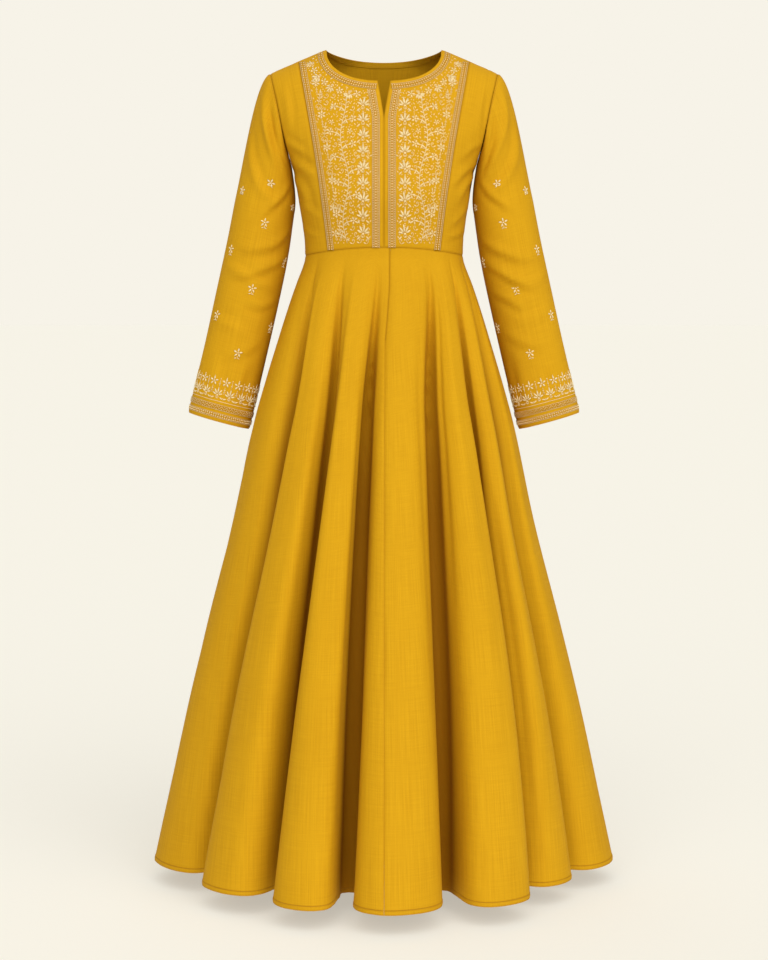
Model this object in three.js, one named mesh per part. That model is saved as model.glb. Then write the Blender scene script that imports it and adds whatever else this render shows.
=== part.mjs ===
// An anarkali gown: a fitted, long-sleeved bodice with an embroidered front yoke, on a floor-length
// flared skirt. It is shaped as it hangs when worn: hollow, and open at the neck, cuffs and hem.
//
// Millimetres, +Z up. The front faces -Y and the wearer's left side is +X. The origin is midway
// between the neck ends of the two shoulder seams, where the gown hangs on the wearer.
//
// Every cloth piece is a thin wall. Its outer face is worked out from a body form, a table of
// level sections, and its inner face lies one wall thickness further in.

import * as THREE from "three";

// ---- Driving dimensions ------------------------------------------------------------------------

const LENGTH = 1327; // neck point to hem
const NECK_HALF = 92.7; // half the width of the neck opening
const NECK_DROP_FRONT = 55.6;
const NECK_DROP_BACK = 13;
const NECK_POWER = 2.35; // how square the front neckline is
const SHOULDER_HALF = 183; // half the width across the shoulders
const SHOULDER_DROP = 38; // fall of the shoulder seam from neck to sleeve head
const SHOULDER_ROLL = 42; // height over which front and back round over to the shoulder seam
const UNDERARM = 187; // depth of the underarm point
const WAIST = 319; // depth of the waist seam at the centre
const WAIST_DIP = 11; // how much lower the waist seam lies at the sides
const NOTCH_DEPTH = 61; // the slit below the front neckline
const NOTCH_HALF = 10.3; // half the slit's width at the neckline

const CHEST_POWER = 2.4; // how square the level sections are down to the waist
const HEM_POWER = 1.55; // and at the hem, where they are drawn in towards a diamond

const FOLD_GROWTH = 1.12; // how the folds deepen from the waist down: 1 is straight
const WALL_STEEPNESS = 0.95; // of the folds' walls at the hem: at 1 they stand square to the form

const WALL = 1.6; // thickness of the cloth
const SEAM = 0.3; // gap between two pieces at a seam
const TRIM_LIFT = 0.5; // gap between a sewn-on tape and the cloth below it
const TRIM_WALL = 0.8; // thickness of a tape

// ---- Tables ------------------------------------------------------------------------------------

// Level sections of the body form: half width, and how far the front and the back stand out.
// Above the underarm the half width is that of the whole chest, from which the armhole is cut.
const FORM = [
  { z: 0, half: 215, front: 58, back: 62 },
  { z: -60, half: 205, front: 72, back: 82 },
  { z: -120, half: 186, front: 94, back: 99 },
  { z: -187, half: 148.5, front: 112, back: 103 },
  { z: -215, half: 142.3, front: 117, back: 101 },
  { z: -240, half: 138.3, front: 118, back: 98 },
  { z: -298, half: 129.4, front: 104, back: 90 },
  { z: -330, half: 128.2, front: 98, back: 88 },
  { z: -343, half: 130.4, front: 100, back: 91 },
  { z: -380, half: 145, front: 109, back: 104 },
  { z: -450, half: 168, front: 128, back: 130 },
  { z: -597, half: 211.5, front: 168, back: 170 },
  { z: -765, half: 249, front: 212, back: 209 },
  { z: -937, half: 295, front: 254, back: 248 },
  { z: -1071, half: 329, front: 284, back: 276 },
  { z: -1229, half: 365, front: 316, back: 306 },
  { z: -LENGTH, half: 387, front: 336, back: 324 },
];

// The seam between the yoke and the side front, from the shoulder seam to the waist.
const PRINCESS = [
  { z: -18, x: 138 },
  { z: -31, x: 135 },
  { z: -145, x: 114.6 },
  { z: -229, x: 101.7 },
  { z: -313, x: 91.3 },
  { z: -340, x: 89 },
];

const WAIST_PRINCESS = 91; // distance of the princess seam from the centre at the waist

// The armhole seam, from the shoulder seam to the underarm point.
const ARMHOLE = [
  { z: -SHOULDER_DROP, x: SHOULDER_HALF },
  { z: -80, x: 172.8 },
  { z: -122, x: 164.2 },
  { z: -155, x: 157.5 },
  { z: -174, x: 152.3 },
  { z: -UNDERARM, x: 148.5 },
];

// Sleeve sections square to the arm: centre, half width across the arm, half depth, and how far the
// section's outer end is tipped up.
const SLEEVE = [
  { z: -251.5, x: 193.5, half: 49.2, depth: 50, tip: 13 },
  { z: -318, x: 205, half: 51, depth: 49, tip: 13 },
  { z: -385.5, x: 219.5, half: 51.6, depth: 47, tip: 13 },
  { z: -490, x: 243.5, half: 51.4, depth: 42, tip: 14 },
  { z: -598, x: 270, half: 51.8, depth: 37, tip: 15.5 },
];

// Skirt folds, one row for each valley and the fold that follows it, clockwise from the front as
// seen from below: the valley's bearing in degrees from the centre front at the hip, at the knee and
// at the hem, its depth at the hem, the share of the fold's width that it opens to, and how far the
// fold's crest stands outside the body form.
const HIP = -378;
const KNEE = -590;
const FOLDS = [
  { hip: -96, knee: -98, hem: -107, deep: 96, open: 0.22, out: -5 },
  { hip: -59, knee: -53, hem: -67, deep: 98, open: 0.2, out: 4 },
  { hip: -35, knee: -31, hem: -37, deep: 96, open: 0.2, out: 14 },
  { hip: -5, knee: -10.5, hem: -12.5, deep: 96, open: 0.2, out: 3 },
  { hip: 38, knee: 28, hem: 21.5, deep: 92, open: 0.22, out: 20 },
  { hip: 58, knee: 52, hem: 49, deep: 90, open: 0.22, out: -14 },
  { hip: 74, knee: 66, hem: 72, deep: 86, open: 0.22, out: -6 },
  { hip: 100, knee: 104, hem: 104, deep: 98, open: 0.22, out: 6 },
  { hip: 121, knee: 122, hem: 124, deep: 94, open: 0.26, out: 12 },
  { hip: 144, knee: 146, hem: 146, deep: 100, open: 0.22, out: 2 },
  { hip: 163, knee: 166, hem: 168, deep: 96, open: 0.24, out: 4 },
  { hip: 199, knee: 197, hem: 196, deep: 102, open: 0.22, out: -4 },
  { hip: 222, knee: 219, hem: 218, deep: 94, open: 0.26, out: 14 },
  { hip: 243, knee: 240, hem: 241, deep: 98, open: 0.22, out: 4 },
];

// Tapes on the yoke, by the distance of their two edges from the edge that they follow.
const NECK_TAPE = { from: 5, to: 14 };
const PLACKET_TAPE = { from: 6.5, to: 18.5 };
const PRINCESS_TAPE = { from: 1.5, to: 11 };

// Tapes round the cuff, by the distance of their two edges from the cuff's end.
const CUFF_TAPES = [
  { name: "lower", from: 6, to: 14 },
  { name: "upper", from: 18.5, to: 27.5 },
];

// ---- Mesh fineness -----------------------------------------------------------------------------

const ROWS_BELOW_UNDERARM = 7;
const ROWS_ABOVE_UNDERARM = 9;
const YOKE_NECK_COLUMNS = 6;
const YOKE_SHOULDER_COLUMNS = 4;
const SIDE_COLUMNS = 4;
const BACK_COLUMNS = 16;
const CAP_ROWS = 6;
const ARM_ROWS = 6;
const STEPS_PER_FOLD = 8;
const SKIRT_ROWS = [0, 0.2, 0.42, 0.64, 0.82, 0.94, 1];
const TAPE_ROWS = 18;
const NECK_TAPE_STEPS = 14;

// ---- Small tools -------------------------------------------------------------------------------

const radians = THREE.MathUtils.degToRad;
const lerp = THREE.MathUtils.lerp;
const clamp = THREE.MathUtils.clamp;

/** One column of a table at height z, on a smooth curve through its rows, which run downwards. */
function column(table, key, z) {
  const last = table.length - 1;
  const at = clamp(z, table[last].z, table[0].z);
  let i = 0;
  while (i < last - 1 && at < table[i + 1].z) i += 1;
  const slope = (k) => {
    const above = table[Math.max(k - 1, 0)];
    const below = table[Math.min(k + 1, last)];
    return (above[key] - below[key]) / (above.z - below.z);
  };
  const step = table[i + 1].z - table[i].z;
  const t = (at - table[i].z) / step;
  const rise = table[i + 1][key] - table[i][key];
  const start = slope(i) * step;
  const end = slope(i + 1) * step;
  const curve = 3 * rise - 2 * start - end + t * (start + end - 2 * rise);
  return table[i][key] + t * (start + t * curve);
}

/** How square the level sections are: a rounded box at the chest, drawn in at the hem. */
function power(z) {
  return lerp(CHEST_POWER, HEM_POWER, drop(z));
}

/** How far down the skirt a height is, from 0 at the waist to 1 at the hem. */
function drop(z) {
  return clamp((-WAIST - z) / (LENGTH - WAIST), 0, 1);
}

/** Height of the shoulder line at a distance from the centre. */
function shoulderHeight(x) {
  return (-SHOULDER_DROP * (x - NECK_HALF)) / (SHOULDER_HALF - NECK_HALF);
}

/** Height of the waist seam at a distance from the centre. */
function waistHeight(x) {
  return -WAIST - WAIST_DIP * (x / FORM[7].half) ** 2;
}

/** The bearing on a level section of the point at distance x from the centre, in radians. */
function bearing(x, z) {
  return Math.asin(Math.min(1, (x / column(FORM, "half", z)) ** (power(z) / 2)));
}

/** The distance from the centre of the point at a bearing on a level section. */
function offset(angle, z) {
  return column(FORM, "half", z) * Math.sin(angle) ** (2 / power(z));
}

/** A point of the bodice's outer face: face is -1 on the front and 1 on the back. */
function bodyPoint(face, x, z) {
  const reach = Math.min(Math.abs(x) / column(FORM, "half", z), 1);
  const bow = (1 - reach ** power(z)) ** (1 / power(z));
  const over = clamp((z - shoulderHeight(Math.abs(x))) / SHOULDER_ROLL + 1, 0, 1);
  const depth = column(FORM, face < 0 ? "front" : "back", z) * bow * Math.sqrt(1 - over * over);
  return new THREE.Vector3(x, face * Math.max(depth, SEAM / 2), z);
}

/** The outward direction at (s, v) of a surface whose s and v run as a right-handed pair. */
function normalAt(surface, s, v) {
  const step = 1e-3;
  const along = surface(Math.min(s + step, 1), v).sub(surface(Math.max(s - step, 0), v));
  const up = surface(s, Math.min(v + step, 1)).sub(surface(s, Math.max(v - step, 0)));
  return along.cross(up).normalize();
}

/** The mirror image of a surface, with s reversed so that it still faces out. */
function mirrored(surface) {
  return (s, v) => surface(1 - s, v).multiply(new THREE.Vector3(-1, 1, 1));
}

/** Equal steps from 0 to 1. */
function shares(count) {
  return Array.from({ length: count + 1 }, (_, i) => i / count);
}

/**
 * A closed wall on a surface. Its outer face is lifted off the surface by lift, and its inner face
 * lies thickness below that. A ring closes on itself in the s direction.
 */
function wall(surface, across, upward, { lift = 0, thickness = WALL, ring = false } = {}) {
  const columns = ring ? across.slice(0, -1) : across;
  const [n, m] = [columns.length, upward.length];
  const positions = [];
  for (const rise of [lift, lift - thickness]) {
    for (const s of columns) {
      for (const v of upward) {
        const point = surface(s, v).addScaledVector(normalAt(surface, s, v), rise);
        positions.push(point.x, point.y, point.z);
      }
    }
  }
  const outer = (i, j) => (i % n) * m + j;
  const inner = (i, j) => n * m + outer(i, j);
  const faces = [];
  const quad = (a, b, c, d) => faces.push(a, b, c, a, c, d);
  const lastColumn = ring ? n : n - 1;
  for (let i = 0; i < lastColumn; i += 1) {
    for (let j = 0; j < m - 1; j += 1) {
      quad(outer(i, j), outer(i + 1, j), outer(i + 1, j + 1), outer(i, j + 1));
      quad(inner(i, j), inner(i, j + 1), inner(i + 1, j + 1), inner(i + 1, j));
    }
    quad(inner(i, 0), inner(i + 1, 0), outer(i + 1, 0), outer(i, 0));
    quad(outer(i, m - 1), outer(i + 1, m - 1), inner(i + 1, m - 1), inner(i, m - 1));
  }
  for (let j = 0; j < m - 1 && !ring; j += 1) {
    quad(inner(0, j), outer(0, j), outer(0, j + 1), inner(0, j + 1));
    quad(outer(n - 1, j), inner(n - 1, j), inner(n - 1, j + 1), outer(n - 1, j + 1));
  }
  const geometry = new THREE.BufferGeometry();
  geometry.setAttribute("position", new THREE.Float32BufferAttribute(positions, 3));
  geometry.setIndex(faces);
  geometry.computeVertexNormals();
  return geometry;
}

// ---- Materials ---------------------------------------------------------------------------------

const cloth = { color: 0xdca41e, roughness: 0.82, metalness: 0 };
const tape = { color: 0xd9bd7c, roughness: 0.6, metalness: 0.1 };

const gown = new THREE.Group();
gown.name = "anarkali_gown";

/** Adds one named piece to the gown. */
function addPiece(name, geometry, finish) {
  const mesh = new THREE.Mesh(geometry, new THREE.MeshStandardMaterial(finish));
  mesh.name = name;
  gown.add(mesh);
}

// ---- Bodice ------------------------------------------------------------------------------------

const BODICE_ROWS = ROWS_BELOW_UNDERARM + ROWS_ABOVE_UNDERARM;
const UNDERARM_SHARE = ROWS_BELOW_UNDERARM / BODICE_ROWS;

/** The height at share v of a bodice column up to a top point, spaced evenly as it rolls over. */
function columnHeight(v, bottom, top) {
  if (v <= UNDERARM_SHARE) return lerp(bottom, -UNDERARM, v / UNDERARM_SHARE);
  const base = shoulderHeight(top.x) - SHOULDER_ROLL;
  const rise = clamp((top.z - base) / SHOULDER_ROLL, 0, 1);
  const arc = rise > 0 ? base + SHOULDER_ROLL * Math.asin(rise) : top.z;
  const w = lerp(-UNDERARM, arc, (v - UNDERARM_SHARE) / (1 - UNDERARM_SHARE));
  return w > base ? base + SHOULDER_ROLL * Math.sin((w - base) / SHOULDER_ROLL) : w;
}

/** How far a column has turned from the panel's own spacing to its top point, from 0 to 1. */
function turnToTop(v) {
  return clamp((v - UNDERARM_SHARE) / (1 - UNDERARM_SHARE), 0, 1) ** 2;
}

/** A surface of the bodice: inner and outer give x at a share s and height, top the upper edge. */
function bodiceSurface(face, xAt, topAt) {
  return (s, v) => {
    const top = topAt(s);
    const start = waistHeight(xAt(s, -WAIST)) + SEAM / 2;
    const z = columnHeight(v, start, top);
    const x = xAt(s, z) + (top.x - xAt(s, top.z)) * turnToTop(v);
    return bodyPoint(face, x, z);
  };
}

/** Half the width of the centre slit, which is a closed seam below the notch. */
function notchHalf(z) {
  const open = clamp((z + NECK_DROP_FRONT + NOTCH_DEPTH) / NOTCH_DEPTH, 0, 1);
  return Math.max(SEAM / 2, NOTCH_HALF * open ** 1.15);
}

/** A point of the front neckline at a bearing from the centre front, spread outwards by spread. */
function necklinePoint(angle, spread = 0) {
  const x = (NECK_HALF + spread) * Math.sin(angle) ** (2 / NECK_POWER);
  const z = -(NECK_DROP_FRONT + spread) * Math.cos(angle) ** (2 / NECK_POWER);
  return { x, z: Math.min(z, shoulderHeight(x)) };
}

const NECK_SHARE = 0.62; // share of the yoke's upper edge that is neckline
const NOTCH_BEARING = Math.asin((NOTCH_HALF / NECK_HALF) ** (NECK_POWER / 2));

/** The yoke's upper edge: the neckline from the notch, then the shoulder seam. */
function yokeTop(s) {
  if (s < NECK_SHARE) return necklinePoint(lerp(NOTCH_BEARING, Math.PI / 2, s / NECK_SHARE));
  const x = lerp(NECK_HALF, PRINCESS[0].x - SEAM / 2, (s - NECK_SHARE) / (1 - NECK_SHARE));
  return { x, z: shoulderHeight(x) };
}

const yoke = bodiceSurface(
  -1,
  (s, z) => lerp(notchHalf(z), column(PRINCESS, "x", z) - SEAM / 2, s),
  yokeTop,
);

/** The outer edge of the side front and the back: the side seam, then the armhole. */
function sideBearing(z) {
  return z < -UNDERARM ? Math.PI / 2 : bearing(column(ARMHOLE, "x", z), z);
}

/** The side front's upper edge: the rest of the shoulder seam. */
function sideFrontTop(s) {
  const x = lerp(PRINCESS[0].x + SEAM / 2, SHOULDER_HALF, s);
  return { x, z: shoulderHeight(x) };
}

const sideFront = bodiceSurface(
  -1,
  (s, z) => offset(lerp(bearing(column(PRINCESS, "x", z) + SEAM / 2, z), sideBearing(z), s), z),
  sideFrontTop,
);

const BACK_NECK_SHARE = 0.5; // share of the back's upper edge that is neckline
const FACING_LINE = 1 - 0.45 / BODICE_ROWS; // share of the back's height at the facing's lower edge

/** The upper edge of half the back: the shallow neckline, then the shoulder seam. */
function backTop(s) {
  if (s < BACK_NECK_SHARE) {
    const x = NECK_HALF * Math.sin((Math.PI * s) / 2 / BACK_NECK_SHARE);
    return { x, z: -NECK_DROP_BACK * (1 - (x / NECK_HALF) ** 2) };
  }
  const x = lerp(NECK_HALF, SHOULDER_HALF, (s - BACK_NECK_SHARE) / (1 - BACK_NECK_SHARE));
  return { x, z: shoulderHeight(x) };
}

const halfBack = bodiceSurface(1, (s, z) => offset(s * sideBearing(z), z), backTop);

/** The whole back, from the wearer's left side to the right, so that it faces out. */
function back(s, v) {
  const across = 1 - 2 * s;
  const point = halfBack(Math.abs(across), v);
  point.x *= Math.sign(across) || 1;
  return point;
}

/** A surface between two curves on the front, each a function from 0 to 1 giving x and z. */
function frontStrip(inner, outer) {
  return (s, v) => {
    const [a, b] = [inner(v), outer(v)];
    return bodyPoint(-1, lerp(a.x, b.x, s), lerp(a.z, b.z, s));
  };
}

/** A line down the yoke at a distance from its centre edge, from the waist to just below the neck. */
function beside(edge, distance, upper) {
  return (v) => {
    const z = lerp(-WAIST - 1, upper, v);
    return { x: edge(z) + distance, z };
  };
}

const TAPE_TOP = -NECK_DROP_FRONT - NECK_TAPE.to - SEAM * 3;

const placketTape = frontStrip(
  beside(notchHalf, PLACKET_TAPE.from, TAPE_TOP),
  beside(notchHalf, PLACKET_TAPE.to, TAPE_TOP),
);

/** The line of the neck tape at a distance from the neckline, from the shoulder seam to the centre. */
function neckTapeEdge(spread) {
  return (v) => necklinePoint(lerp(Math.PI / 2, NOTCH_BEARING, v), spread);
}

const neckTape = frontStrip(neckTapeEdge(NECK_TAPE.to), neckTapeEdge(NECK_TAPE.from));

/** A line at a distance inside the princess seam, from the waist up to the shoulder seam. */
function princessTapeEdge(distance) {
  return (v) => {
    const top = { x: PRINCESS[0].x - distance };
    top.z = shoulderHeight(top.x);
    const z = columnHeight(v, waistHeight(WAIST_PRINCESS - PRINCESS_TAPE.to) + SEAM, top);
    return { x: column(PRINCESS, "x", z) - distance, z };
  };
}

const princessTape = frontStrip(
  princessTapeEdge(PRINCESS_TAPE.to),
  princessTapeEdge(PRINCESS_TAPE.from),
);

/** The facing inside the back neckline, made from the points of the back's own neck edge. */
function neckFacing(s, v) {
  return back(lerp((1 - BACK_NECK_SHARE) / 2, (1 + BACK_NECK_SHARE) / 2, s), lerp(FACING_LINE, 1, v));
}

const bodiceRows = shares(BODICE_ROWS);
const yokeColumns = [
  ...shares(YOKE_NECK_COLUMNS).map((s) => s * NECK_SHARE),
  ...shares(YOKE_SHOULDER_COLUMNS).slice(1).map((s) => lerp(NECK_SHARE, 1, s)),
];
const backHalfColumns = shares(BACK_COLUMNS / 2);
const backColumns = [
  ...backHalfColumns.map((s) => s / 2),
  ...backHalfColumns.slice(1).map((s) => 0.5 + s / 2),
];

const backRows = [...bodiceRows.slice(0, -1), FACING_LINE, 1];
addPiece("bodice_back", wall(back, backColumns, backRows), cloth);
addPiece(
  "neck_facing_back",
  wall(neckFacing, shares(BACK_COLUMNS / 2), [0, 1], { lift: -WALL - TRIM_LIFT, thickness: TRIM_WALL }),
  cloth,
);

const SIDES = [
  { name: "left", place: (surface) => surface, ordered: (list) => list },
  { name: "right", place: mirrored, ordered: (list) => list.map((s) => 1 - s).reverse() },
];
const tapeWall = { lift: TRIM_LIFT + TRIM_WALL, thickness: TRIM_WALL };

for (const { name, place, ordered } of SIDES) {
  addPiece(`bodice_yoke_${name}`, wall(place(yoke), ordered(yokeColumns), bodiceRows), cloth);
  const sideColumns = shares(SIDE_COLUMNS);
  addPiece(`bodice_side_front_${name}`, wall(place(sideFront), sideColumns, bodiceRows), cloth);
  addPiece(`tape_placket_${name}`, wall(place(placketTape), shares(1), shares(TAPE_ROWS), tapeWall), tape);
  addPiece(`tape_princess_${name}`, wall(place(princessTape), shares(1), bodiceRows, tapeWall), tape);
  addPiece(`tape_neck_${name}`, wall(place(neckTape), shares(1), shares(NECK_TAPE_STEPS), tapeWall), tape);
}

// ---- Sleeves -----------------------------------------------------------------------------------

const CAP_SHARE = CAP_ROWS / (CAP_ROWS + ARM_ROWS);

/** A point of the armhole, at a share of the way round from the sleeve head over the front. */
function armholePoint(around) {
  const front = around <= 0.5;
  const down = front ? around * 2 : 2 - around * 2;
  const v = lerp(1, UNDERARM_SHARE, down);
  const point = front ? sideFront(1, v) : halfBack(1, v);
  if (down === 1 || down === 0) point.y = 0;
  point.x += SEAM * 1.2;
  return point;
}

/** A point of the sleeve section at height z, at a share of the way round. */
function sectionPoint(around, z) {
  const angle = around * 2 * Math.PI;
  const tip = radians(column(SLEEVE, "tip", z));
  const out = column(SLEEVE, "half", z) * Math.cos(angle);
  return new THREE.Vector3(
    column(SLEEVE, "x", z) + out * Math.cos(tip),
    -column(SLEEVE, "depth", z) * Math.sin(angle),
    z + out * Math.sin(tip),
  );
}

/** The sleeve's outer face: v runs from the armhole over the cap, then down the arm to the cuff. */
function sleeve(s, v) {
  const top = SLEEVE[0].z;
  if (v > CAP_SHARE) {
    const z = lerp(top, SLEEVE[SLEEVE.length - 1].z, (v - CAP_SHARE) / (1 - CAP_SHARE));
    return sectionPoint(s, z);
  }
  const [start, end] = [armholePoint(s), sectionPoint(s, top)];
  const reach = start.distanceTo(end);
  const tip = radians(SLEEVE[0].tip);
  const atHead = (1 + Math.cos(s * 2 * Math.PI)) / 2;
  const leave = new THREE.Vector3(atHead, 0, -1 + 0.65 * atHead).normalize();
  const arrive = new THREE.Vector3(-Math.sin(tip), 0, Math.cos(tip));
  return new THREE.CubicBezierCurve3(
    start,
    start.clone().addScaledVector(leave, reach * 0.12),
    end.clone().addScaledVector(arrive, reach * 0.35),
    end,
  ).getPoint(v / CAP_SHARE);
}

/** The share v of the sleeve at a distance from the cuff's end. */
function fromCuff(distance) {
  const arm = (SLEEVE[0].z - SLEEVE[SLEEVE.length - 1].z) / Math.cos(radians(SLEEVE[0].tip));
  return 1 - (distance * (1 - CAP_SHARE)) / arm;
}

const roundSleeve = shares(2 * ROWS_ABOVE_UNDERARM);
for (const { name, place } of SIDES) {
  const surface = place(sleeve);
  const rows = shares(CAP_ROWS + ARM_ROWS);
  addPiece(`sleeve_${name}`, wall(surface, roundSleeve, rows, { ring: true }), cloth);
  for (const { name: level, from, to } of CUFF_TAPES) {
    const band = wall(surface, roundSleeve, [fromCuff(to), fromCuff(from)], { ...tapeWall, ring: true });
    addPiece(`tape_cuff_${level}_${name}`, band, tape);
  }
}

// ---- Skirt -------------------------------------------------------------------------------------

/** The row of the fold with this number, which may run on past a whole turn. */
function fold(index) {
  return FOLDS[index % FOLDS.length];
}

/** The bearing of a valley at a height, in degrees. */
function valleyBearing(index, z) {
  const { hip, knee, hem } = fold(index);
  const line = [
    { z: HIP, bearing: hip },
    { z: KNEE, bearing: knee },
    { z: -LENGTH, bearing: hem },
  ];
  return column(line, "bearing", z) + 360 * Math.floor(index / FOLDS.length);
}

/** The share of a fold's width at a share of its cloth: the walls steepen towards the hem. */
function foldSpread(index, share, z) {
  const set = drop(z) ** 0.6;
  const turn = share * 2 * Math.PI;
  const widening = Math.PI * (0.5 - fold(index).open) * Math.sin(turn);
  const steepening = WALL_STEEPNESS * 0.5 * Math.sin(2 * turn);
  return share + (set * (steepening - widening)) / (2 * Math.PI);
}

/** A point of the skirt at a share of the cloth in a fold, counted from its valley. */
function foldPoint(index, share, z) {
  const spread = foldSpread(index, share, z);
  const angle = radians(lerp(valleyBearing(index, z), valleyBearing(index + 1, z), spread));
  const [across, forward] = [Math.sin(angle), Math.cos(angle)];
  const [half, square] = [column(FORM, "half", z), power(z)];
  const depth = column(FORM, forward > 0 ? "front" : "back", z);
  const sum = Math.abs(across / half) ** square + Math.abs(forward / depth) ** square;
  const point = new THREE.Vector3(across, -forward, 0).multiplyScalar(sum ** (-1 / square)).setZ(z);
  const inward = new THREE.Vector3(-point.x / half ** 2, -point.y / depth ** 2, 0).normalize();
  const valley = lerp(fold(index).deep, fold(index + 1).deep, share);
  const hang = (1 + Math.cos(share * 2 * Math.PI)) / 2;
  const push = valley * hang - fold(index).out * (1 - hang);
  return point.addScaledVector(inward, drop(z) ** FOLD_GROWTH * push);
}

/** The share of a fold's cloth that lies at a bearing on its crest. */
function shareAt(index, degrees, z) {
  let [low, high] = [0.25, 0.75];
  for (let i = 0; i < 30; i += 1) {
    const middle = (low + high) / 2;
    const here = lerp(valleyBearing(index, z), valleyBearing(index + 1, z), foldSpread(index, middle, z));
    if (here < degrees) low = middle;
    else high = middle;
  }
  return low;
}

/** The share of a fold's cloth that half a seam's gap takes up at a seam. */
function gapShare(index, share, z) {
  const step = 1e-3;
  const length = foldPoint(index, share + step, z).distanceTo(foldPoint(index, share - step, z));
  return (SEAM * step) / length;
}

// The four panels, each between two seams: the fold that each seam lies on, and the seam's bearing.
const SKIRT_PANELS = [
  { name: "skirt_front_left", from: { fold: 3, at: 0 }, to: { fold: 6, at: 89 } },
  { name: "skirt_back_left", from: { fold: 6, at: 89 }, to: { fold: 10, at: 180 } },
  { name: "skirt_back_right", from: { fold: 10, at: 180 }, to: { fold: 14, at: 272 } },
  { name: "skirt_front_right", from: { fold: 14, at: 272 }, to: { fold: 17, at: 360 } },
];

/** A point of the cloth between two seams at height z, at a share s of the way along. */
function panelPoint(from, to, s, z) {
  const [first, last] = [from, to].map((seam) => shareAt(seam.fold, seam.at, z));
  const start = from.fold + first + gapShare(from.fold, first, z);
  const end = to.fold + last - gapShare(to.fold, last, z);
  const along = lerp(start, end, s);
  return foldPoint(Math.floor(along), along % 1, z);
}

/** A skirt panel's surface: s runs along the cloth from seam to seam, v from the hem to the waist. */
function skirtSurface(from, to) {
  return (s, v) => {
    const { x } = panelPoint(from, to, s, lerp(-LENGTH, -WAIST, v));
    return panelPoint(from, to, s, lerp(-LENGTH, waistHeight(x) - SEAM / 2, v));
  };
}

for (const { name, from, to } of SKIRT_PANELS) {
  const columns = shares((to.fold - from.fold) * STEPS_PER_FOLD);
  addPiece(name, wall(skirtSurface(from, to), columns, SKIRT_ROWS), cloth);
}

export default gown;
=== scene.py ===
"""An anarkali gown: its cloth, seams, tapes, embroidery and the studio that it stands in.

Metres, +Z up. The front faces -Y and the wearer's left side is +X. The origin is midway between the
neck ends of the two shoulder seams. The cloth follows the same body form and skirt folds as the
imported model, whose tables are repeated here, with finer rows, creases, hems and stitching.
"""

import logging
import math
from dataclasses import dataclass, field
from enum import Enum
from typing import Callable, ClassVar

import bpy
import numpy as np
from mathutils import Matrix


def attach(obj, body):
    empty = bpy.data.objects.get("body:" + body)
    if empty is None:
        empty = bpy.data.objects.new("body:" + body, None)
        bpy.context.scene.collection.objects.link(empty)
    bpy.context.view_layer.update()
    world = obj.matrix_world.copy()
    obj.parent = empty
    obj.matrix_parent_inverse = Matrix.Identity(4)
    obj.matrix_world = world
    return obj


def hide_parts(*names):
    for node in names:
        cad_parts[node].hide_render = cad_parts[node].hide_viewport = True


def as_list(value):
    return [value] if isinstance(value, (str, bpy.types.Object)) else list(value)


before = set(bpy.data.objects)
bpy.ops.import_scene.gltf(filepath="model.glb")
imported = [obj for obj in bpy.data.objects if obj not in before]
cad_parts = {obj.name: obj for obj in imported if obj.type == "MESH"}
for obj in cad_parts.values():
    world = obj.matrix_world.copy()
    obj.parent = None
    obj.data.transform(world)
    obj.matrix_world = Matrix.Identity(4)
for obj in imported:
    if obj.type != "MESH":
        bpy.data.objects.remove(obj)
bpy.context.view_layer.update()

LOG = logging.getLogger("anarkali_gown")
MM = 0.001

Array = np.ndarray
Surface = Callable[[Array, Array], Array]
Line = Callable[[Array, Array], tuple[Array, Array]]
Colour = tuple[float, float, float, float]
Socket = bpy.types.NodeSocket


class Face(Enum):
    """The side of the gown that a bodice piece is on."""

    FRONT = -1
    BACK = 1


class Side(Enum):
    """The wearer's side, with the sign of its x."""

    LEFT = 1
    RIGHT = -1

    @property
    def word(self) -> str:
        """The side's name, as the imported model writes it."""
        return self.name.lower()


# ---- Driving dimensions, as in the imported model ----

LENGTH = 1327 * MM
NECK_HALF = 92.7 * MM
NECK_DROP_FRONT = 55.6 * MM
NECK_DROP_BACK = 13 * MM
NECK_POWER = 2.35
SHOULDER_HALF = 183 * MM
SHOULDER_DROP = 38 * MM
SHOULDER_ROLL = 42 * MM
UNDERARM = 187 * MM
WAIST = 319 * MM
WAIST_DIP = 11 * MM
WAIST_HALF = 128.2 * MM
NOTCH_DEPTH = 61 * MM
NOTCH_HALF = 10.3 * MM
CHEST_POWER = 2.4
HEM_POWER = 1.55
FOLD_GROWTH = 1.12
WALL_STEEPNESS = 0.95
SEAM = 0.3 * MM
TRIM_LIFT = 0.5 * MM
CLOTH = 0.9 * MM

UNDERARM_SHARE = 7 / 16
NECK_SHARE = 0.62
BACK_NECK_SHARE = 0.5
FACING_LINE = 1 - 0.45 / 16
CAP_SHARE = 0.5
HIP = -378 * MM
KNEE = -590 * MM

# Level sections: height, half width, and how far the front and the back stand out.
FORM = (
    (0, 215, 58, 62), (-60, 205, 72, 82), (-120, 186, 94, 99), (-187, 148.5, 112, 103),
    (-215, 142.3, 117, 101), (-240, 138.3, 118, 98), (-298, 129.4, 104, 90),
    (-330, 128.2, 98, 88), (-343, 130.4, 100, 91), (-380, 145, 109, 104),
    (-450, 168, 128, 130), (-597, 211.5, 168, 170), (-765, 249, 212, 209),
    (-937, 295, 254, 248), (-1071, 329, 284, 276), (-1229, 365, 316, 306),
    (-1327, 387, 336, 324),
)
# Height and distance from the centre of the princess seam and of the armhole.
PRINCESS = ((-18, 138), (-31, 135), (-145, 114.6), (-229, 101.7), (-313, 91.3), (-340, 89))
ARMHOLE = ((-38, 183), (-80, 172.8), (-122, 164.2), (-155, 157.5), (-174, 152.3), (-187, 148.5))
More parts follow.
